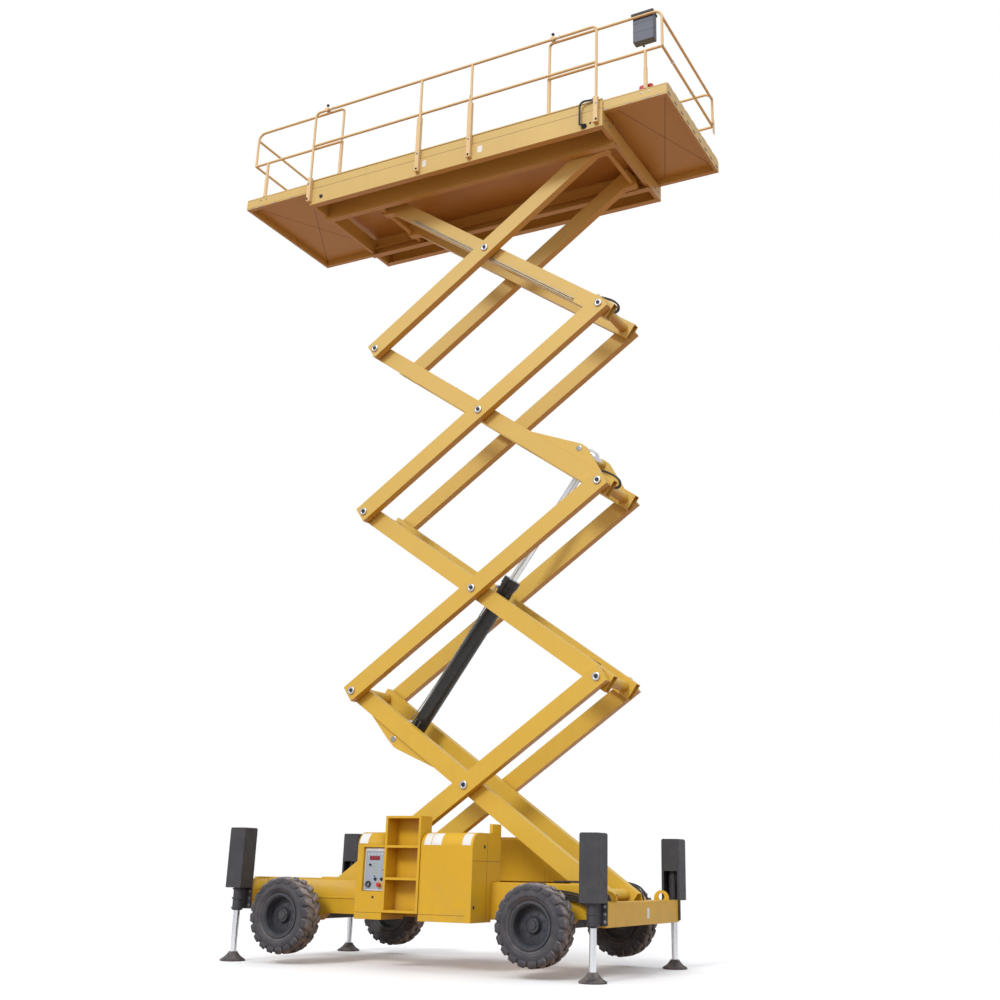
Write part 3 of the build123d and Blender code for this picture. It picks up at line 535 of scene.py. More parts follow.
def bracket_cheeks():
    """Long plates that spread the cylinder's pins along the inner arms, with the pin's end in a bore."""
    lower = [(-0.46, -0.097), (-0.055, -0.206), (0.06, -0.226), (0.12, -0.218), (0.7, -0.097)]
    upper = [(-0.7, 0.097), (-0.04, 0.264), (0.062, 0.27), (0.11, 0.25), (0.43, 0.097)]
    for stage, middle, rise, outline in ((1, 0.749, -0.157, lower), (3, ARM_L - 0.508, 0.213, upper)):
        cheeks, ends = Piece(f"bracket_cheeks_{stage}"), Piece(f"bracket_pins_{stage}")
        for _, side in SIDES:
            for y0, y1 in ((0.2995, 0.2875), (0.3205, 0.3325)):
                corners = [arm_place("inner", stage, middle + a, b, 0) for a, b in outline]
                cheeks.prism([(x, z) for x, _, z in corners], (0, side * y0, 0), ALONG, UP, -side * (y1 - y0))
            at = arm_place("inner", stage, middle, rise, side * 0.3325)
            ends.turned(at, (0, side, 0), [(0.034, -0.001), (0.034, 0.004), (0.029, 0.006), (0.02, 0.006),
                (0.02, 0.003), (0, 0.003)], 32)
        cheeks.build(f"inner_arms_{stage}", "arm_paint", 0.001)
        ends.build(f"inner_arms_{stage}", "bolt")


def arm_lines():
    """Hoses clipped inside the inner arms, looping over their open ends, and two pale pipes on the top pair."""
    inside = -INNER_IN + 0.014
    for stage in range(1, 5):
        body = f"inner_arms_{stage}"
        clips = Piece(f"hose_clips_{stage}")
        for k, rise in enumerate((0.03, -0.004)):
            route = [(0.16, rise), (0.4, rise), (ARM_L / 2 - 0.2, rise), (ARM_L / 2 - 0.06, rise + 0.004),
                (ARM_L / 2 + 0.06, rise - 0.004), (ARM_L / 2 + 0.2, rise), (ARM_L - 0.3, rise),
                (ARM_L - 0.14, rise + 0.02)]
            points = [arm_place("inner", stage, a, b + 0.05, inside + 0.004) for a, b in route]
            tube(f"arm_hose_{stage}_{k}", points, 0.0095, body, "hose_rubber")
        for i in range(1, 6):
            at = arm_place("inner", stage, 0.2 + i * ARM_L / 7, 0.063, -INNER_IN)
            along = Vector(arm_place("inner", stage, 1, 0, 0)) - Vector(arm_place("inner", stage, 0, 0, 0))
            clips.panel(at, 0.03, 0.092, 0.008, -0.005, along, along.cross(Vector(ACROSS)))
            bolt(clips, Vector(at) + Vector((0, 0.005, 0)), ACROSS, 0.006)
        clips.build(body, "bolt")
    for k, rise in enumerate((-0.06, -0.082)):
        points = [arm_place("inner", 4, a, rise, -INNER_FACE - 0.01) for a in (0.55, 0.9, 2.2, 3.1, 3.4)]
        tube(f"arm_pipe_{k}", points, 0.0065, "inner_arms_4", "pipe")
    # loops over the open ends, between the arms of each pair
    for stage, reach in ((3, 0.1), (4, 0.08)):
        for k in range(2):
            y = -INNER_IN + 0.03 + 0.026 * k
            route = [(ARM_L - 0.2, 0.118), (ARM_L - 0.08, 0.15), (ARM_L + reach, 0.145), (ARM_L + reach + 0.05, 0.07),
                (ARM_L + 0.085, 0.02), (ARM_L + 0.05, 0.04)]
            tube(f"end_loop_{stage}_{k}", [arm_place("inner", stage, a, b, y) for a, b in route],
                0.011, f"inner_arms_{stage}", "hose_rubber")


def cylinder_fittings():
    """Hose ports, a pipe along the barrel and the lock valve at its foot."""
    base = Vector(JOINTS["cylinder_swing"]["pos_m"])
    along = Vector(JOINTS["cylinder_stroke"]["axis"]).normalized()
    above = along.cross(Vector(NEAR)).normalized()
    if above.z < 0:
        above = -above
    side = Vector(NEAR)

    def spot(a, b, c=0.0):
        return tuple(base + along * a + above * b + side * c)

    ports = Piece("barrel_ports")
    for a in (0.2, 2.08):
        ports.turned(spot(a, 0.088, 0.03), tuple(above), [(0.024, 0.0), (0.024, 0.016), (0.018, 0.02), (0.018, 0.036),
            (0, 0.036)], 6)
    ports.panel(spot(0.235, 0.0, 0.088), 0.11, 0.07, 0.006, -0.042, tuple(along), tuple(above))
    ports.build("cylinder_barrel", "bolt", 0.002)
    rings = Piece("barrel_rings")
    for a, r in ((0.15, 0.0965), (0.168, 0.0945), (2.132, 0.0965)):
        rings.turned(spot(a, 0), tuple(along), [(0.09, -0.01), (r, -0.007), (r, 0.007), (0.09, 0.01)], 48)
    rings.build("cylinder_barrel", "black_paint")
    tube("barrel_pipe", [spot(0.2, 0.12, 0.03), spot(0.2, 0.128, 0.03), spot(0.26, 0.118, 0.03),
        spot(0.5, 0.108, 0.02), spot(1.1, 0.106, 0.01), spot(1.7, 0.106, 0.02), spot(2.02, 0.116, 0.03),
        spot(2.08, 0.128, 0.03), spot(2.08, 0.12, 0.03)], 0.0075, "cylinder_barrel", "pipe")


# ---------------------------------------------------------------- stabilisers and chassis
def stabilisers():
    """Folded covers open below, jack tubes with collars and clamps, rods on flared feet, and their hoses."""
    half, wall, height = 0.103, 0.008, 0.21
    # end, bottom of the clamp, bottom and top of the cover
    for end, z0, cover_z0, cover_z1 in (("left", 0.53, 0.745, 1.375), ("right", 0.496, 0.698, 1.336)):
        x = (low(f"column_{end}_near")[0] + high(f"column_{end}_near")[0]) / 2
        for name, side in SIDES:
            tag = f"{end}_{name}"
            y = side * 1.063
            column = Piece(f"column_body_{tag}")

            inner, open_z, lid = half - wall, cover_z0 + 0.3, cover_z1 - 0.014
            shelf = open_z + 0.01
            plates = [(-half, half, 1.158, 1.166, cover_z0, lid), (-half, -inner, 0.96, 1.158, cover_z0, lid),
                (inner, half, 0.96, 1.158, cover_z0, lid), (-inner, inner, 0.96, 0.968, open_z, lid),
                (-inner, 0.018 - inner, 0.96, 0.968, cover_z0, open_z),
                (inner - 0.018, inner, 0.96, 0.968, cover_z0, open_z), (-inner, -0.045, 0.968, 1.158, open_z, shelf),
                (0.045, inner, 0.968, 1.158, open_z, shelf), (-0.045, 0.045, 0.968, 1.018, open_z, shelf),
                (-0.045, 0.045, 1.108, 1.158, open_z, shelf)]
            clamps = [(-0.108, 0.108, 0.961, 0.979, z0, z0 + height),
                (-0.055, 0.055, 0.979, 1.045, z0 + 0.016, z0 + height - 0.016)]
            for a0, a1, y0, y1, low_z, high_z in plates:
                column.mirrored_block(side, (x + a0, y0, low_z), (x + a1, y1, high_z))
            roof = [(-half, 0), (half, 0), (half - 0.012, 0.014), (0.012 - half, 0.014)]
            column.prism(roof, (x, y + 0.103, lid), ALONG, UP, 0.206)
            column.turned((x, y, z0), UP, [(0.0362, 0), (0.055, 0), (0.055, 0.78), (0.0362, 0.78)], 40)
            for rise in (0, (height - 0.016) / 2, height - 0.016):
                column.turned((x, y, z0 + rise), UP, [(0.05, 0), (0.064, 0), (0.067, 0.003), (0.067, 0.013),
                    (0.064, 0.016), (0.05, 0.016)], 40)
            for a0, a1, y0, y1, low_z, high_z in clamps:
                column.mirrored_block(side, (x + a0, y0, low_z), (x + a1, y1, high_z))
            column.build("chassis", "charcoal_paint", 0.0015)
            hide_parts(f"column_{tag}")
            bolts = Piece(f"clamp_bolts_{tag}")
            for dx in (-0.083, 0.083):
                for dz in (0.036, 0.105, 0.174):
                    bolt(bolts, (x + dx, side * 0.979, z0 + dz), (0, side, 0), 0.011)
            bolts.build("chassis", "bolt")
            Piece(f"jack_wiper_{tag}").turned((x, y, z0), (0, 0, -1), [(0.06, 0.0), (0.06, 0.006), (0.05, 0.018),
                (0.04, 0.018), (0.0362, 0.012)], 32).build("chassis", "black_paint")
            top = z0 + height
            tube(f"jack_hose_{tag}", [(x + 0.035, side * 0.975, top - 0.02), (x + 0.038, side * 0.985, top + 0.1),
                (x + 0.03, side * 0.995, top + 0.2), (x + 0.02, side * 1.004, top + 0.29)], 0.009, "chassis",
                "hose_rubber")
            leg = Piece(f"leg_body_{tag}")
            profile = [(0, 0), (0.13, 0), (0.134, 0.004), (0.134, 0.012), (0.127, 0.019), (0.1, 0.034),
                (0.074, 0.055), (0.056, 0.078), (0.046, 0.094), (0.034, 0.096), (0.034, 0.902), (0.031, 0.905),
                (0, 0.905)]
            leg.turned((x, y, 0), UP, profile, 64)
            leg.build(f"leg_{tag}", "chrome_rod", angle=30)
            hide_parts(f"leg_{tag}")


def chassis_forms():
    """Low tail and end beam on the right, deep webs with axle cradles, gussets and tie-down rings."""
    x1 = high("chassis_frame")[0]
    tail = 0.7
    end_cut = Piece("cut_end_beam")
    end_cut.block((2.18, -0.98, tail), (x1 + 0.02, 0.98, 1.0))
    slopes = []
    for name, side in SIDES:
        slope = Piece(f"cut_tail_{name}")
        outline = [(1.985, 0.9), (1.985, 0.845), (2.11, tail + 0.0005), (2.19, tail + 0.0005), (2.19, 0.9)]
        slope.prism(outline, (0, side * 0.625 + 0.08, 0), ALONG, UP, 0.16)
        slopes.append(slope)
    carved("chassis_frame", "chassis_body", "chassis", [end_cut] + slopes)
    beams = Piece("end_beams")
    beams.block((2.195, -0.9605, 0.476), (x1 - 0.001, 0.9605, 0.7015))
    beams.block((-2.085, -0.9605, 0.527), (-1.911, 0.9605, 0.737))
    beams.build("chassis", "base_paint", 0.004)
    webs = Piece("beam_webs")
    # side views, between the beams and the axles
    outlines = [[(-1.488, 0.66), (-1.488, 0.425), (-1.39, 0.425), (-1.39, 0.66)], [(-1.296, 0.66), (-1.296, 0.425),
        (-1.19, 0.425), (-1.1, 0.5), (1.42, 0.5), (1.508, 0.425), (1.614, 0.425), (1.614, 0.66)], [(1.708, 0.66),
        (1.708, 0.425), (1.806, 0.425), (1.905, 0.531), (2.196, 0.531), (2.196, 0.66)]]
    gusset = [(-0.424, 0.855), (-0.72, 0.855), (-0.424, 1.075)]
    for _, side in SIDES:
        for outline in outlines:
            webs.prism(outline, (0, side * 0.625 + 0.067, 0), ALONG, UP, 0.134)
        webs.prism(gusset, (0, side * 0.686 + 0.005, 0), ALONG, UP, 0.01)
        webs.mirrored_block(side, (-1.913, 0.69, 0.655), (-0.424, 0.6985, 0.672))
    webs.build("chassis", "base_paint", 0.003)
    rings = Piece("tie_down_rings")
    x, r, bore, rise = (2.195 + x1) / 2, 0.084, 0.036, 0.038
    for _, side in SIDES:
        outer, inner = [], []
        for i in range(25):
            a, b = math.radians(-12 + 204 * i / 24), math.radians(-90 + 360 * i / 24)
            outer.append((r * math.cos(a), rise - 0.02 + r * math.sin(a)))
            inner.append((bore * math.cos(b), rise + bore * math.sin(b)))
        layers = [[[rings.bm.verts.new((x + a, side * y, tail + b)) for a, b in loop] for loop in (outer,
            inner[:-1])] for y in (0.68, 0.7)]
        for one, two in zip(*layers):
            for i in range(len(one)):
                j = (i + 1) % len(one)
                rings.bm.faces.new((one[i], one[j], two[j], two[i]))
        for layer in layers:
            edges = [rings.bm.edges.get((loop[i],
                loop[(i + 1) % len(loop)])) for loop in layer for i in range(len(loop))]
            bmesh.ops.triangle_fill(rings.bm, edges=edges, use_beauty=True)
    rings.build("chassis", "base_paint", 0.002)


def chassis_fittings():
    """Bolts on the cradles and axles, blank plates, pivot rings, and hoses beside the right axle."""
    bolts = Piece("cradle_bolts")
    for node in ("rear_axle", "steer_axle"):
        x = (low(node)[0] + high(node)[0]) / 2
        for _, side in SIDES:
            for dx in (-0.105, 0.105):
                for dz in (0.455, 0.5):
                    bolt(bolts, (x + dx, side * 0.692, dz), (0, side, 0), 0.01)
    bolts.build("chassis", "bolt")
    Piece("beam_patch").panel((-0.6, -0.69, 0.76), 0.075, 0.048, 0.004, 0.004).build("chassis", "base_paint", 0.001)
    Piece("rear_blank_plate").panel((high("chassis_frame")[0] - 0.001, 0.1, 0.585),
        0.062, 0.1, 0.005, 0.0012, ACROSS).build("chassis", "label")
    pivots = Piece("pivot_rings")
    for _, side in SIDES:
        pivots.turned((BASE_X, side * 0.39, BASE_Z), (0, side, 0), [(0.03, 0.0), (0.03, 0.016), (0.046, 0.016),
            (0.052, 0.012), (0.052, 0.0)], 36)
    pivots.build("chassis", "bronze")
    for k in range(4):
        drop = 0.022 * k
        route = [(1.4 + 0.03 * k, -0.712, 0.8 - drop), (1.7, -0.716, 0.8 - drop), (1.95, -0.735, 0.775 - drop),
            (2.1, -0.82, 0.73 - drop), (2.19 + 0.02 * k, -0.93, 0.69 - drop), (2.2 + 0.02 * k, -0.975, 0.66 - drop)]
        tube(f"chassis_hose_{k}", route, 0.0095, "chassis", "hose_rubber")
    for k, y in enumerate((-0.52, -0.47, 0.4, 0.5)):
        route = [(1.6, y, 0.875), (1.85, y, 0.885), (2.06, y + 0.01, 0.86), (2.16, y + 0.02, 0.79),
            (2.19, y + 0.02, 0.705)]
        tube(f"tail_hose_{k}", route, 0.01, "chassis", "hose_rubber")


# ---------------------------------------------------------------- wheels
def tyre_piece(end, name):
    """Ribbed carcass with two rows of bent, tapered lugs in the CAD tyre's place."""
    node = f"tyre_{end}_{name}"
    lo, hi = low(node), high(node)
    centre = (lo + hi) / 2
    tread = (hi[0] - lo[0]) / 2 - 0.0012 - 0.016
    body = f"wheel_{end}_{name}"
    carcass = Piece(f"tyre_body_{end}_{name}")
    # radius, place across the tyre
    wall = [(0.2125, 0.098), (0.23, 0.103), (0.236, 0.11), (0.248, 0.118), (0.25, 0.1215), (0.256, 0.1225),
        (0.259, 0.1265), (0.27, 0.129), (0.273, 0.1325), (0.29, 0.132), (0.306, 0.1285), (0.325, 0.121),
        (0.344, 0.11), (tread - 0.006, 0.094), (tread, 0.07)]
    profile = [(r, -w) for r, w in wall] + [(tread + 0.001, 0.0)] + [(r, w) for r, w in reversed(wall)]
    profile += [(0.2125, -0.098)]
    carcass.turned(centre, ACROSS, profile, 96)
    carcass.build(body, "tyre", angle=50)
    lugs = Piece(f"tyre_lugs_{end}_{name}")
    count = 20
    # across the tread, turn ahead in lug pitches, half width, height above the carcass
    stations = [(0.004, 0.0, 0.022, 0.016), (0.045, 0.18, 0.025, 0.016), (0.085, 0.42, 0.031, 0.0155),
        (0.112, 0.55, 0.037, 0.01), (0.129, 0.6, 0.04, -0.014), (0.1325, 0.62, 0.034, -0.044)]
    pitch = 2 * math.pi / count
    for row in (-1, 1):
        for i in range(count):
            start = (i + (0.25 if row > 0 else -0.25)) * pitch
            loops = []
            for across, ahead, wide, rise in stations:
                r = tread + rise
                foot = tread - 0.01 if rise > 0 else r - 0.012
                a = start + ahead * pitch
                loop = []
                for radius, k in ((foot, -1.25), (r - 0.003, -1.0), (r, -0.8), (r, 0.8), (r - 0.003, 1.0),
                        (foot, 1.25)):
                    turn = a + k * wide / tread
                    inset = 0.01 if rise < 0 and radius == foot else 0.0
                    loop.append(lugs.bm.verts.new((centre[0] + radius * math.cos(turn),
                        centre[1] + row * (across - inset), centre[2] + radius * math.sin(turn))))
                loops.append(loop)
            for one, two in zip(loops, loops[1:]):
                for j in range(5):
                    lugs.bm.faces.new((one[j], one[j + 1], two[j + 1], two[j]))
            lugs.bm.faces.new(loops[0])
            lugs.bm.faces.new(list(reversed(loops[-1])))
    lugs.build(body, "tyre", angle=45)
    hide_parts(node)


def wheel_fittings(end, name, side):
    """Wheel nuts, hub bolts, cap and valve, on the outer side."""
    node = f"rim_{end}_{name}"
    centre = (low(node) + high(node)) / 2
    centre[1] = (low(f"tyre_{end}_{name}")[1] + high(f"tyre_{end}_{name}")[1]) / 2
    out = (0, side, 0)
    body = f"wheel_{end}_{name}"
    nuts = Piece(f"wheel_nuts_{end}_{name}")
    for i in range(8):
        a = 2 * math.pi * (i + 0.5) / 8
        at = centre + Vector((0.105 * math.cos(a), side * 0.004, 0.105 * math.sin(a)))
        bolt(nuts, at, out, 0.01)
    for i in range(8):
        a = 2 * math.pi * i / 8
        at = centre + Vector((0.053 * math.cos(a), side * 0.05, 0.053 * math.sin(a)))
        bolt(nuts, at, out, 0.005)
    nuts.build(body, "rim_paint")
    hub = Piece(f"hub_cap_{end}_{name}")
    hub.turned(centre, out, [(0.0655, 0.046), (0.0675, 0.049), (0.0675, 0.0555), (0.064, 0.057)], 40)
    hub.turned(centre, out, [(0.04, 0.0492), (0.0395, 0.058), (0.036, 0.061), (0.02, 0.0625), (0, 0.0625)], 32)
    hub.turned(centre, out, [(0.09, 0.0045), (0.086, 0.0085), (0.083, 0.014), (0.078, 0.02), (0.069, 0.022)], 40)
    hub.build(body, "rim_paint")
    Piece(f"valve_{end}_{name}").turned(centre + Vector((0.15, -side * 0.004, 0.03)), out, [(0.006, 0.0),
        (0.006, 0.02), (0.004, 0.022), (0.004, 0.036), (0, 0.036)], 12).build(body, "dark")


# ---------------------------------------------------------------- housings, controls, ladder
def curved_label(name, x0, x1, a0, a1):
    """Blank plate that follows the round top edge of a near-side housing, between two angles."""
    top, face = high("power_housing")[2], low("power_housing")[1]
    r = 0.135
    cy, cz = face + r, top - r
    label = Piece(name)
    rows = []
    for i in range(13):
        a = math.radians(a0 + (a1 - a0) * i / 12)
        rows.append([(x, cy - rr * math.cos(a), cz + rr * math.sin(a)) for x, rr in ((x0, r), (x0, r + 0.0012),
            (x1, r + 0.0012), (x1, r))])
    verts = [[label.bm.verts.new(p) for p in row] for row in rows]
    for one, two in zip(verts, verts[1:]):
        for j in range(4):
            label.bm.faces.new((one[j], one[(j + 1) % 4], two[(j + 1) % 4], two[j]))
    label.bm.faces.new(verts[0])
    label.bm.faces.new(list(reversed(verts[-1])))
    label.build("chassis", "label")


def housing_forms():
    """Inner parts of the bonnets down to the beams, the end plate, the tank and the panel's recess."""
    forms = Piece("bonnet_forms")
    forms.block((0.358, -0.692, 0.858), (0.9695, -0.512, 1.3345))
    forms.block((-0.4195, -0.692, 0.858), (-0.084, -0.512, 1.3345))
    forms.block((-0.4195, 0.512, 0.858), (0.9695, 0.692, 1.31))
    forms.block((0.93, -0.7, 1.33), (0.9698, -0.514, 1.43))
    forms.block((0.965, 0.512, 0.858), (1.32, 0.7, 1.12))
    forms.build("chassis", "base_paint", 0.006)
    recess = Piece("cut_panel_recess")
    recess.block((-0.345, -1.12, 0.748), (-0.08, -1.062, 1.182))
    carved("control_housing", "control_bonnet", "chassis", [recess])
    Piece("control_plate").block((-0.339, -1.068, 0.754), (-0.09, -1.0615, 1.176)).build("chassis", "panel_face",
        0.001)


def housing_fittings():
    """Blank plates, joint lines, latches, a dark disc as painted shade in the drain hole, and the tank's cap."""
    for name, x0, x1, a0, a1 in (("blank_plate_1", -0.405, -0.3, 8, 62), ("blank_plate_2", 0.395, 0.478, 4, 66),
            ("blank_plate_3", 0.486, 0.6, 4, 66), ("blank_plate_4", 0.845, 0.945, 4, 66)):
        curved_label(name, x0, x1, a0, a1)
    x1 = high("power_housing")[0]
    lines = Piece("panel_joints")
    lines.block((x1 - 0.001, -0.8015, 0.492), (x1 + 0.0006, -0.7985, 1.325))
    lines.block((x1 - 0.001, -1.095, 1.0585), (x1 + 0.0006, -0.8015, 1.0615))
    lines.block((x1 - 0.001, -0.7985, 1.0585), (x1 + 0.0006, -0.516, 1.0615))
    lines.block((-0.42, -1.1006, 0.5395), (-0.084, -1.099, 0.5425))
    lines.block((0.358, -1.1006, 0.5395), (0.905, -1.099, 0.5425))
    lines.build("chassis", "dark")
    latch = Piece("latches")
    for y, z in ((-1.045, 0.62), (-0.86, 1.2)):
        latch.turned((x1, y, z), ALONG, [(0.017, -0.001), (0.017, 0.003), (0.014, 0.005), (0.006, 0.005),
            (0.006, 0.008), (0, 0.008)], 28)
    tank_x = 1.32
    latch.panel((tank_x, 0.6, 1.04), 0.05, 0.03, 0.006, 0.012, ACROSS)
    latch.build("chassis", "dark", 0.0015)
    # painted shade: a dark disc stands for the drain hole
    Piece("drain_hole_shade").turned((-0.202, -1.1002, 0.69), NEAR, [(0.0135, -0.0005), (0.0135, 0.0005), (0.0115, 0.0012),
        (0.0105, 0.0002), (0, 0.0002)], 28).build("chassis", "dark")
    Piece("tank_cap").turned((tank_x - 0.1, 0.6, 1.12), UP, [(0.042, 0.0), (0.042, 0.012), (0.036, 0.014),
        (0.036, 0.034), (0.032, 0.038), (0, 0.038)], 24).build("chassis", "dark")


def panel_fittings():
    """Face of the ground controls: rim, lamps, number display, key, small keys, stop button and socket."""
    lo, hi = Vector((-0.339, -1.1, 0.754)), Vector((-0.09, -1.1, 1.176))
    face = -1.068
    width, height = hi[0] - lo[0], hi[2] - lo[2]

    def at(across, down, out=0.0):
        return (lo[0] + across * width, face - out, hi[2] - down * height)

    out = NEAR
    rim = Piece("panel_rim")
    x0, x1, z0, z1 = lo[0], hi[0], lo[2], hi[2]
    for a, b in (((x0, z0), (x0 + 0.008, z1)), ((x1 - 0.008, z0), (x1, z1)), ((x0 + 0.008, z0),
            (x1 - 0.008, z0 + 0.008)), ((x0 + 0.008, z1 - 0.03), (x1 - 0.008, z1))):
        rim.block((a[0], face - 0.004, a[1]), (b[0], face + 0.001, b[1]))
    rim.build("chassis", "lamp", 0.001)
    lamps = Piece("panel_lamps")
    for i in range(5):
        lamps.turned(at(0.16 + 0.17 * i, 0.155), out, [(0.0085, 0.0), (0.0085, 0.003), (0.006, 0.006), (0, 0.007)],
            16)
    lamps.build("chassis", "lamp")
    Piece("panel_display").panel(at(0.47, 0.24), 0.125, 0.04, 0.004, 0.004).build("chassis", "display", 0.001)
    digits = Piece("panel_segments")
    for i in range(3):
        x, y, z = at(0.47, 0.24, 0.004)
        cx = x - 0.036 + i * 0.036
        for dx, dz, w, h in ((-0.009, 0, 0.003, 0.026), (0.009, 0, 0.003, 0.026), (0, 0.013, 0.016, 0.003),
                (0, 0, 0.016, 0.003), (0, -0.013, 0.016, 0.003)):
            digits.panel((cx + dx, y, z + dz), w, h, 0.0012, 0.0008, steps=2)
    digits.build("chassis", "red")
    key = Piece("panel_switches")
    for across, down, r in ((0.27, 0.4, 0.012), (0.93, 0.52, 0.008), (0.5, 0.66, 0.006)):
        key.turned(at(across, down), out, [(r, 0.0), (r, 0.004), (r * 0.7, 0.006), (r * 0.7, 0.012), (0, 0.012)], 20)
    key.panel(at(0.27, 0.4, 0.011), 0.006, 0.02, 0.002, 0.014, (1, 0, 0.3), (-0.3, 0, 1), steps=2)
    # two turning knobs
    for across, down in ((0.55, 0.73), (0.86, 0.73)):
        key.turned(at(across, down), out, [(0.0165, 0.0), (0.0165, 0.004), (0.0115, 0.008), (0.0105, 0.0205),
            (0.0085, 0.0225), (0, 0.0225)], 20)
    key.build("chassis", "dark")
    pads = Piece("panel_pads")
    for i in range(3):
        for k in range(4):
            pads.panel(at(0.4 + 0.1 * i, 0.36 + 0.075 * k), 0.011, 0.011, 0.003, 0.002)
    pads.build("chassis", "green")
    Piece("stop_plate").turned(at(0.78, 0.86), out, [(0.031, 0.0), (0.031, 0.002), (0.029, 0.003), (0.02, 0.003)],
        36).build("chassis", "signal_yellow")
    Piece("stop_button").turned(at(0.78, 0.86), out, [(0.0145, 0.002), (0.0145, 0.0255), (0.0215, 0.0262),
        (0.0235, 0.031), (0.0215, 0.037), (0.013, 0.04), (0, 0.041)], 36).build("chassis", "red")
    Piece("panel_socket").turned(at(0.22, 0.85), out, [(0.031, 0.0), (0.031, 0.01), (0.0285, 0.0175), (0.0285, 0.02),
        (0.02, 0.02), (0.0195, 0.0145)], 36).build("chassis", "dark")


def ladder_grips():
    """Pressed grip rings on each step and on the ladder's top."""
    lo, hi = low("ladder"), high("ladder")
    pitch = (hi[2] - lo[2]) / 3
    grips = Piece("step_grips")
    for level in range(4):
        z = lo[2] + 0.024 + level * pitch if level < 3 else hi[2]
        for i in range(8):
            for k in range(3):
                x = lo[0] + 0.054 + i * (hi[0] - lo[0] - 0.108) / 7
                y = lo[1] + 0.032 + 0.045 * k
                grips.turned((x, y, z), UP, [(0.015, -0.0005), (0.012, 0.0022), (0.009, 0.0022), (0.007, -0.0005)],
                    14)
    grips.build("chassis", "base_paint")


# ---------------------------------------------------------------- platform
def platform_fittings():
    """Socket bolts, blank plates, lock pins with cords, lips, and painted shade under the lips and in the grooves."""
    side_y = low("platform_frame")[1]
    top = high("platform_frame")[2]
    z0 = 9.342
    rail_lo, rail_hi = low("guardrail_near"), high("guardrail_near")
    rail_y = (rail_lo[1] + rail_hi[1]) / 2
    rail_top = rail_hi[2] - 0.017
    left, right = rail_lo[0], rail_hi[0]
    # near side: gate posts stand this far from the ladder's sides
    gate = (low("ladder")[0] - 0.205, high("ladder")[0] + 0.12)
    bolts = Piece("socket_bolts")
    dark_bolts = Piece("socket_pins")
    for _, side in SIDES:
        for x in (left + 0.017, gate[0], gate[1], right - 0.017):
            bolt(dark_bolts, (x, side * (abs(rail_y) + 0.028), z0 + 0.075), (0, side, 0), 0.01)
            bolt(bolts, (x, side * (abs(rail_y) + 0.028), z0 + 0.3), (0, side, 0), 0.009)
    for x in (2.13, 2.18, 2.23):
        bolt(dark_bolts, (x, side_y, z0 + 0.075), NEAR, 0.01)
    bolts.build("platform", "bolt")
    dark_bolts.build("platform", "dark")
    plates = Piece("side_blank_plates")
    for x, w, h, dz in ((gate[0] + 0.085, 0.055, 0.09, 0.155), (gate[1] + 0.145, 0.07, 0.09, 0.14)):
        plates.panel((x, side_y, z0 + dz), w, h, 0.006, 0.0012)
    plates.build("platform", "label")
    Piece("side_socket").turned((left + 0.21, side_y, z0 + 0.094), NEAR, [(0.026, 0.0), (0.026, 0.004),
        (0.021, 0.008), (0.019, 0.018), (0.01, 0.021), (0, 0.021)], 32).build("platform", "dark")
    # lock pins of the roll-out decks on the top rail, with their thin cords
    for tag, x in (("left", left + 0.215), ("right", right - 0.62)):
        saddle = Piece(f"lock_saddle_{tag}")
        saddle.panel((x, rail_y - 0.019, rail_top), 0.06, 0.046, 0.01, 0.004)
        saddle.panel((x, rail_y + 0.023, rail_top), 0.06, 0.046, 0.01, 0.004)
        saddle.turned((x, rail_y, rail_top + 0.012), UP, [(0.014, 0.0), (0.014, 0.022), (0.009, 0.024),
            (0.007, 0.034)], 20)
        saddle.build("platform", "rail_paint", 0.001)
        Piece(f"lock_knob_{tag}").turned((x, rail_y, rail_top + 0.046), UP, [(0.006, -0.002), (0.009, 0.006),
            (0.017, 0.012), (0.021, 0.022), (0.019, 0.033), (0.011, 0.039), (0, 0.04)], 24).build("platform", "dark")
        drop = rail_top - 0.1
        tube(f"lock_cord_{tag}", [(x, rail_y - 0.022, rail_top), (x + 0.01, rail_y - 0.032, rail_top - 0.05),
            (x + 0.045, rail_y - 0.03, drop), (x + 0.085, rail_y - 0.026, rail_top - 0.06),
            (x + 0.095, rail_y - 0.018, rail_top - 0.004)], 0.0022, "platform", "cord_white")
    clamps = Piece("cord_clamps")
    for x in (left + 0.31, right - 0.525):
        clamps.turned((x, rail_y, rail_top), ALONG, [(0.0172, -0.007), (0.02, -0.005), (0.02, 0.005),
            (0.0172, 0.007)], 32)
    clamps.build("platform", "steel")
    # top lip of the side beams, with painted shadow as a dark line under it and painted shade as a dark line in their
    # groove
    lip, shadow = Piece("side_lips"), Piece("side_shade_lines")
    x0, x1 = low("platform_frame")[0], high("platform_frame")[0]
    for _, side in SIDES:
        for piece, y0, y1, z_low, z_high in ((lip, 0.934, 0.9398, top - 0.016, top - 0.0002),
                (shadow, 0.934, 0.9358, top - 0.022, top - 0.016), (shadow, 0.934, 0.9403, z0 + 0.2375, z0 + 0.2425)):
            piece.mirrored_block(side, (x0 + 0.001, y0, z_low), (x1 - 0.001, y1, z_high))
    lip.build("platform", "upper_paint", 0.001)
    shadow.build("platform", "crease")
    seam = Piece("end_seam_bolts")
    for y in (-0.86, -0.74, 0.74, 0.86):
        bolt(seam, (x1, y, z0 + 0.1), ALONG, 0.011)
    seam.build("platform", "bolt")


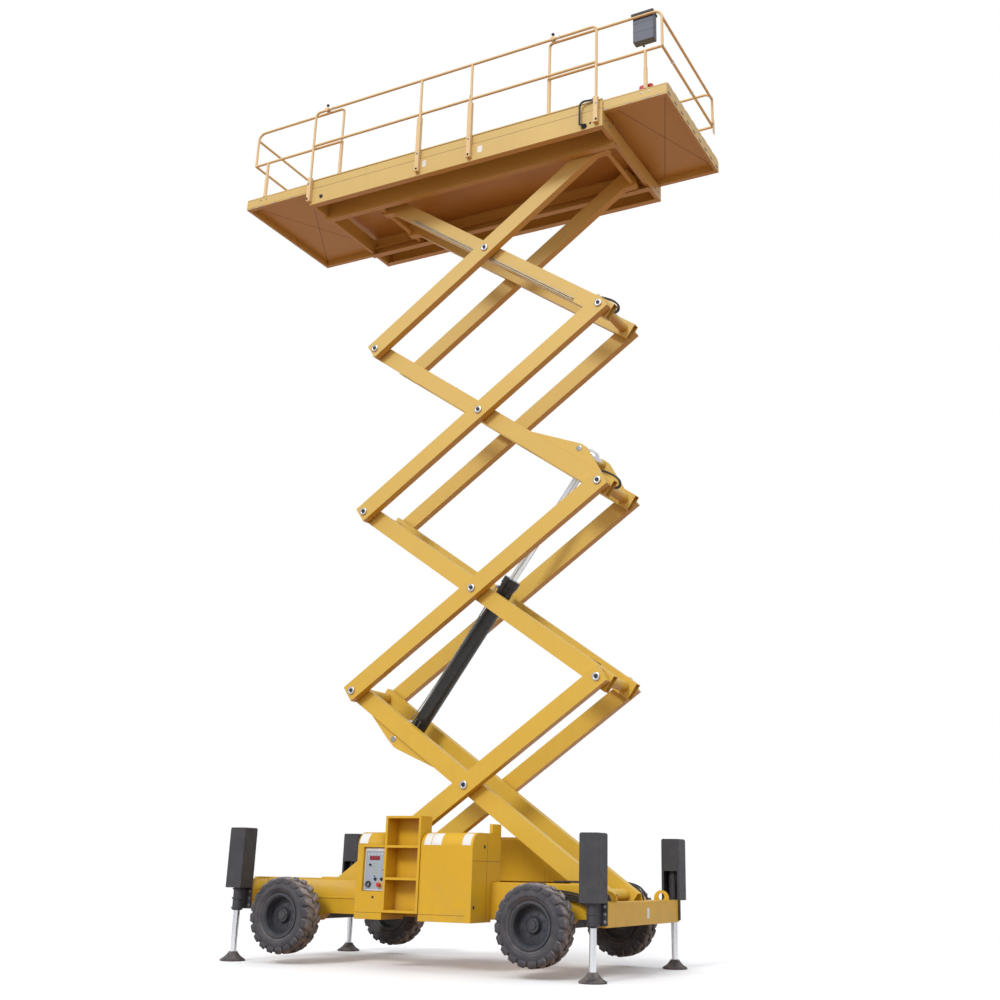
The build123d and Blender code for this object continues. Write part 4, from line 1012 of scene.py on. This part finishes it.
def deck_fittings():
    """Feet of the rails, wear marks, painted shade in side lines and creases, end strip, painted shade in its slots,
    latch, hooks and the red case.
    """
    for tag, sign in (("left", -1), ("right", 1)):
        body = f"extension_{tag}"
        lo, hi = low(body), high(body)
        x_end = lo[0] if sign < 0 else hi[0]
        edge = abs(lo[1])
        feet = Piece(f"rail_feet_{tag}")
        bolts = Piece(f"rail_foot_bolts_{tag}")
        stub = x_end - sign * (0.28 if sign < 0 else 0.27)
        for _, side in SIDES:
            y = side * (edge - 0.022)
            feet.turned((stub, y, hi[2] - 0.001), UP, [(0.0295, 0.0), (0.0295, 0.01), (0.027, 0.013), (0.0245, 0.022),
                (0.0245, 0.3), (0.019, 0.303)], 32)
            for dx in (-0.045, 0.045):
                bolt(bolts, (stub + dx, side * edge, hi[2] - 0.05), (0, side, 0), 0.008)
        feet.build(body, "rail_paint")
        wear = Piece(f"runner_wear_{tag}")
        for _, side in SIDES:
            for reach, length in ((0.11, 0.07), (0.24, 0.1), (0.47, 0.06), (0.78, 0.09)):
                wear.panel((x_end - sign * reach, side * edge, lo[2] + 0.008),
                    length, 0.009, 0.004, 0.0006, (-side, 0, 0), steps=2)
        wear.build(body, "worn")
        bolts.build(body, "bolt")
        # painted shadow: thin dark lines near the top and bottom edges of each deck side
        shadow = Piece(f"deck_side_shade_lines_{tag}")
        inner_x = x_end - sign * 1.49
        for _, side in SIDES:
            for z_low in (hi[2] - 0.018, lo[2] + 0.017):
                shadow.mirrored_block(side, (min(x_end, inner_x) + 0.001, edge - 0.001, z_low),
                    (max(x_end, inner_x) - 0.001, edge + 0.0004, z_low + 0.0035))
        shadow.build(body, "crease")
        # pressed creases from corner to corner below, drawn as dark strips of painted shade
        creases = Piece(f"floor_creases_{tag}")
        inner = x_end - sign * (1.02 if sign < 0 else 0.715)
        floor_z, start = 9.6212, x_end - sign * 0.045
        length = Vector((inner - start, 2 * edge - 0.13, 0)).length
        for turn in (-1, 1):
            along = Vector((inner - start, turn * (2 * edge - 0.13), 0)).normalized()
            creases.prism([(0.03, -0.0035), (length - 0.03, -0.0035), (length - 0.03, 0.0035), (0.03, 0.0035)],
                (start, -turn * (edge - 0.065), floor_z), along, Vector((0, 0, -1)).cross(along), -0.0015)
        creases.build(body, "crease")
    x_end = high("extension_right")[0]
    z = high("extension_right")[2]
    strip = Piece("end_strip")
    outline = [(-0.9, 0.0)]
    for i in range(9):
        y = -0.9 + 0.2 * i
        outline += [(y + 0.02, 0.026), (y + 0.06, 0.034), (y + 0.14, 0.034), (y + 0.18, 0.026)]
    outline += [(0.9, 0.0)]
    strip.prism(list(reversed(outline)), (x_end - 0.006, 0, z - 0.002), ACROSS, UP, 0.005)
    strip.build("extension_right", "upper_paint", 0.001)
    latch = Piece("end_latch")
    rail_x = high("extension_rail_right")[0] - 0.017
    latch.panel((rail_x + 0.0172, 0.872, z + 0.52), 0.075, 0.22, 0.012, 0.004, ACROSS)
    latch.panel((rail_x + 0.0172, 0.83, z + 0.545), 0.04, 0.016, 0.005, 0.012, ACROSS)
    latch.build("extension_right", "rail_paint", 0.0015)
    hooks = Piece("end_hooks")
    for y in (-0.56, 0.1):
        hooks.turned((rail_x, y, z + 0.54), ACROSS, [(0.0172, -0.012), (0.0215, -0.01), (0.0215, 0.01),
            (0.0172, 0.012)], 28)
    hooks.build("extension_right", "steel")
    # painted shade: dark plates where the end strip's slots are
    slots = Piece("end_slot_shades")
    for i in range(9):
        y = -0.84 + 0.21 * i
        slots.panel((x_end - 0.0005, y, z - 0.105), 0.085, 0.022, 0.008, 0.0012, ACROSS)
    slots.build("extension_right", "dark")
    Piece("red_case").panel((x_end - 0.3, -0.66, z + 0.067), 0.17, 0.13, 0.022, 0.16,
        steps=4).build("extension_right", "red", 0.006)
    grip = Piece("case_grip")
    grip.panel((x_end - 0.3, -0.73, z + 0.143), 0.1, 0.02, 0.008, 0.018)
    grip.block((x_end - 0.385, -0.822, z + 0.078), (x_end - 0.215, -0.658, z + 0.082))
    grip.build("extension_right", "dark", 0.002)


def control_box_fittings():
    """Upper controls: dark hooks over the rail, joint lines, keys and levers on the inner face."""
    lo, hi = low("platform_controls"), high("platform_controls")
    body = "extension_right"
    Piece("controls_body").block((lo[0] + 0.014, lo[1] + 0.0345, hi[2] - 0.39),
        (hi[0] - 0.014, hi[1] - 0.006, hi[2] - 0.002)).build(body, "grey_plastic", 0.008)
    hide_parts("platform_controls")
    lo[0], hi[0] = lo[0] + 0.006, hi[0] - 0.006
    Piece("controls_hood").panel(((lo[0] + hi[0]) / 2, hi[1] + 0.001, hi[2] - 0.02),
        hi[0] - lo[0] + 0.004, 0.034, 0.01, hi[1] - lo[1] + 0.004).build(body, "dark", 0.002)
    front = lo[1] + 0.0345
    lines = Piece("controls_lines")
    for dz in (0.13, 0.25):
        lines.block((lo[0] + 0.01, front - 0.0008, hi[2] - dz - 0.003), (hi[0] - 0.01, front + 0.001, hi[2] - dz))
    lines.build(body, "dark")
    inner = hi[1] - 0.006
    keys = Piece("controls_keys")
    for i in range(3):
        for k in range(2):
            keys.turned((lo[0] + 0.07 + 0.075 * i, inner, hi[2] - 0.14 - 0.09 * k), ACROSS, [(0.016, 0.0),
                (0.016, 0.004), (0.012, 0.007), (0, 0.007)], 20)
    keys.turned((lo[0] + 0.075, inner, hi[2] - 0.32), ACROSS, [(0.024, 0.0), (0.02, 0.01), (0.01, 0.016),
        (0.008, 0.06), (0.014, 0.066), (0.014, 0.095), (0, 0.098)], 24)
    keys.build(body, "dark")
    Piece("controls_stop").turned((hi[0] - 0.075, inner, hi[2] - 0.32), ACROSS, [(0.018, 0.0), (0.018, 0.014),
        (0.026, 0.016), (0.026, 0.026), (0.016, 0.031), (0, 0.032)], 28).build(body, "red")


def hose_fittings():
    """A hexagon collar where the platform hose enters its upper gland, and its rubber boot."""
    lo, hi = low("platform_hose"), high("platform_hose")
    nuts = Piece("hose_nuts")
    x = hi[0]
    z_top, z_low = hi[2] - 0.019, lo[2] + 0.019
    nuts.turned((x - 0.02, -0.962, z_top), ALONG, [(0.0192, -0.004), (0.0222, -0.002), (0.0222, 0.01),
        (0.0192, 0.012)], 6)
    nuts.build("platform", "bolt")
    Piece("hose_boot").turned((high("guardrail_near")[0] - 0.017 - 0.175, -0.94, z_low), NEAR, [(0.036, 0.0),
        (0.036, 0.006), (0.029, 0.012), (0.022, 0.024), (0.0205, 0.03)], 28).build("platform", "dark")


# ---------------------------------------------------------------- stage, light, camera
def stage():
    """Pale floor that fades into a white surround, so the horizon doesn't show."""
    bm = bmesh.new()
    bmesh.ops.create_circle(bm, cap_ends=True, segments=96, radius=30.0)
    mesh = mesh_of(bm, "floor")
    floor = placed("floor", mesh)
    floor.location = (0, 0, -0.002)
    s = Shader("floor")
    length = s.add("ShaderNodeVectorMath", operation="LENGTH")
    s.tree.links.new(s.coords["Object"], length.inputs[0])
    fade = s.ramp(length.outputs["Value"], 4.0, 9.0)
    bounced = s.add("ShaderNodeLightPath").outputs["Is Diffuse Ray"]
    pale = s.add("ShaderNodeBsdfDiffuse", Color=(0.95, 0.95, 0.95))
    earth = s.add("ShaderNodeBsdfDiffuse", Color=(0.3, 0.19, 0.12))
    solid = s.layered(bounced, pale, earth)
    mesh.materials.append(s.surface(s.layered(fade, solid, s.add("ShaderNodeBsdfTransparent"))))

    world = bpy.data.worlds.new("studio")
    bpy.context.scene.world = world
    s = Shader("studio", world)
    path = s.add("ShaderNodeLightPath").outputs
    sky = s.mix(s.ramp(s.axis("Generated", "Z"), -0.12, 0.1), (0.46, 0.25, 0.14), (1.0, 1.02, 1.06))
    lit = s.mix(path["Is Glossy Ray"], sky, (0.72, 0.73, 0.75))
    soft = s.add("ShaderNodeBackground", Color=lit, Strength=1.0)
    white = s.add("ShaderNodeBackground", Color=(1.0, 1.0, 1.0))
    s.surface(s.layered(path["Is Camera Ray"], soft, white), "ShaderNodeOutputWorld")


def sun(name, towards, strength, angle):
    lamp = bpy.data.lights.new(name, "SUN")
    lamp.energy = strength
    lamp.angle = math.radians(angle)
    placed(name, lamp).rotation_euler = Vector(towards).to_track_quat("-Z", "Y").to_euler()


def camera():
    """Low, in front of the ladder side's right end, looking up."""
    yaw, pitch, roll = 0.4693, 0.3195, 0.0182
    forward = Vector((-math.sin(yaw) * math.cos(pitch), math.cos(yaw) * math.cos(pitch), math.sin(pitch)))
    level = Vector((math.cos(yaw), math.sin(yaw), 0))
    above = level.cross(forward)
    right = level * math.cos(roll) + above * math.sin(roll)
    up = right.cross(forward)
    data = bpy.data.cameras.new("camera")
    data.sensor_width = 36.0
    data.lens = 43.05
    data.shift_x, data.shift_y = -0.0499, -0.0274
    camera_object = placed("camera", data)
    turn = Matrix((right, up, -forward)).transposed().to_4x4()
    camera_object.matrix_world = Matrix.Translation((7.279, -11.985, 1.004)) @ turn
    bpy.context.scene.camera = camera_object


pin_caps()
bushes()
arm_lines()
cylinder_fittings()
bracket_cheeks()
stabilisers()
chassis_forms()
chassis_fittings()
housing_forms()
for end_name in ("left", "right"):
    for side_name, side_sign in SIDES:
        tyre_piece(end_name, side_name)
        wheel_fittings(end_name, side_name, side_sign)
housing_fittings()
panel_fittings()
ladder_grips()
platform_fittings()
deck_fittings()
control_box_fittings()
hose_fittings()

stage()
sun("sun", (0.05, 0.8, -0.55), 1.5, 16.0)
camera()
bpy.context.scene.view_settings.view_transform = "Standard"
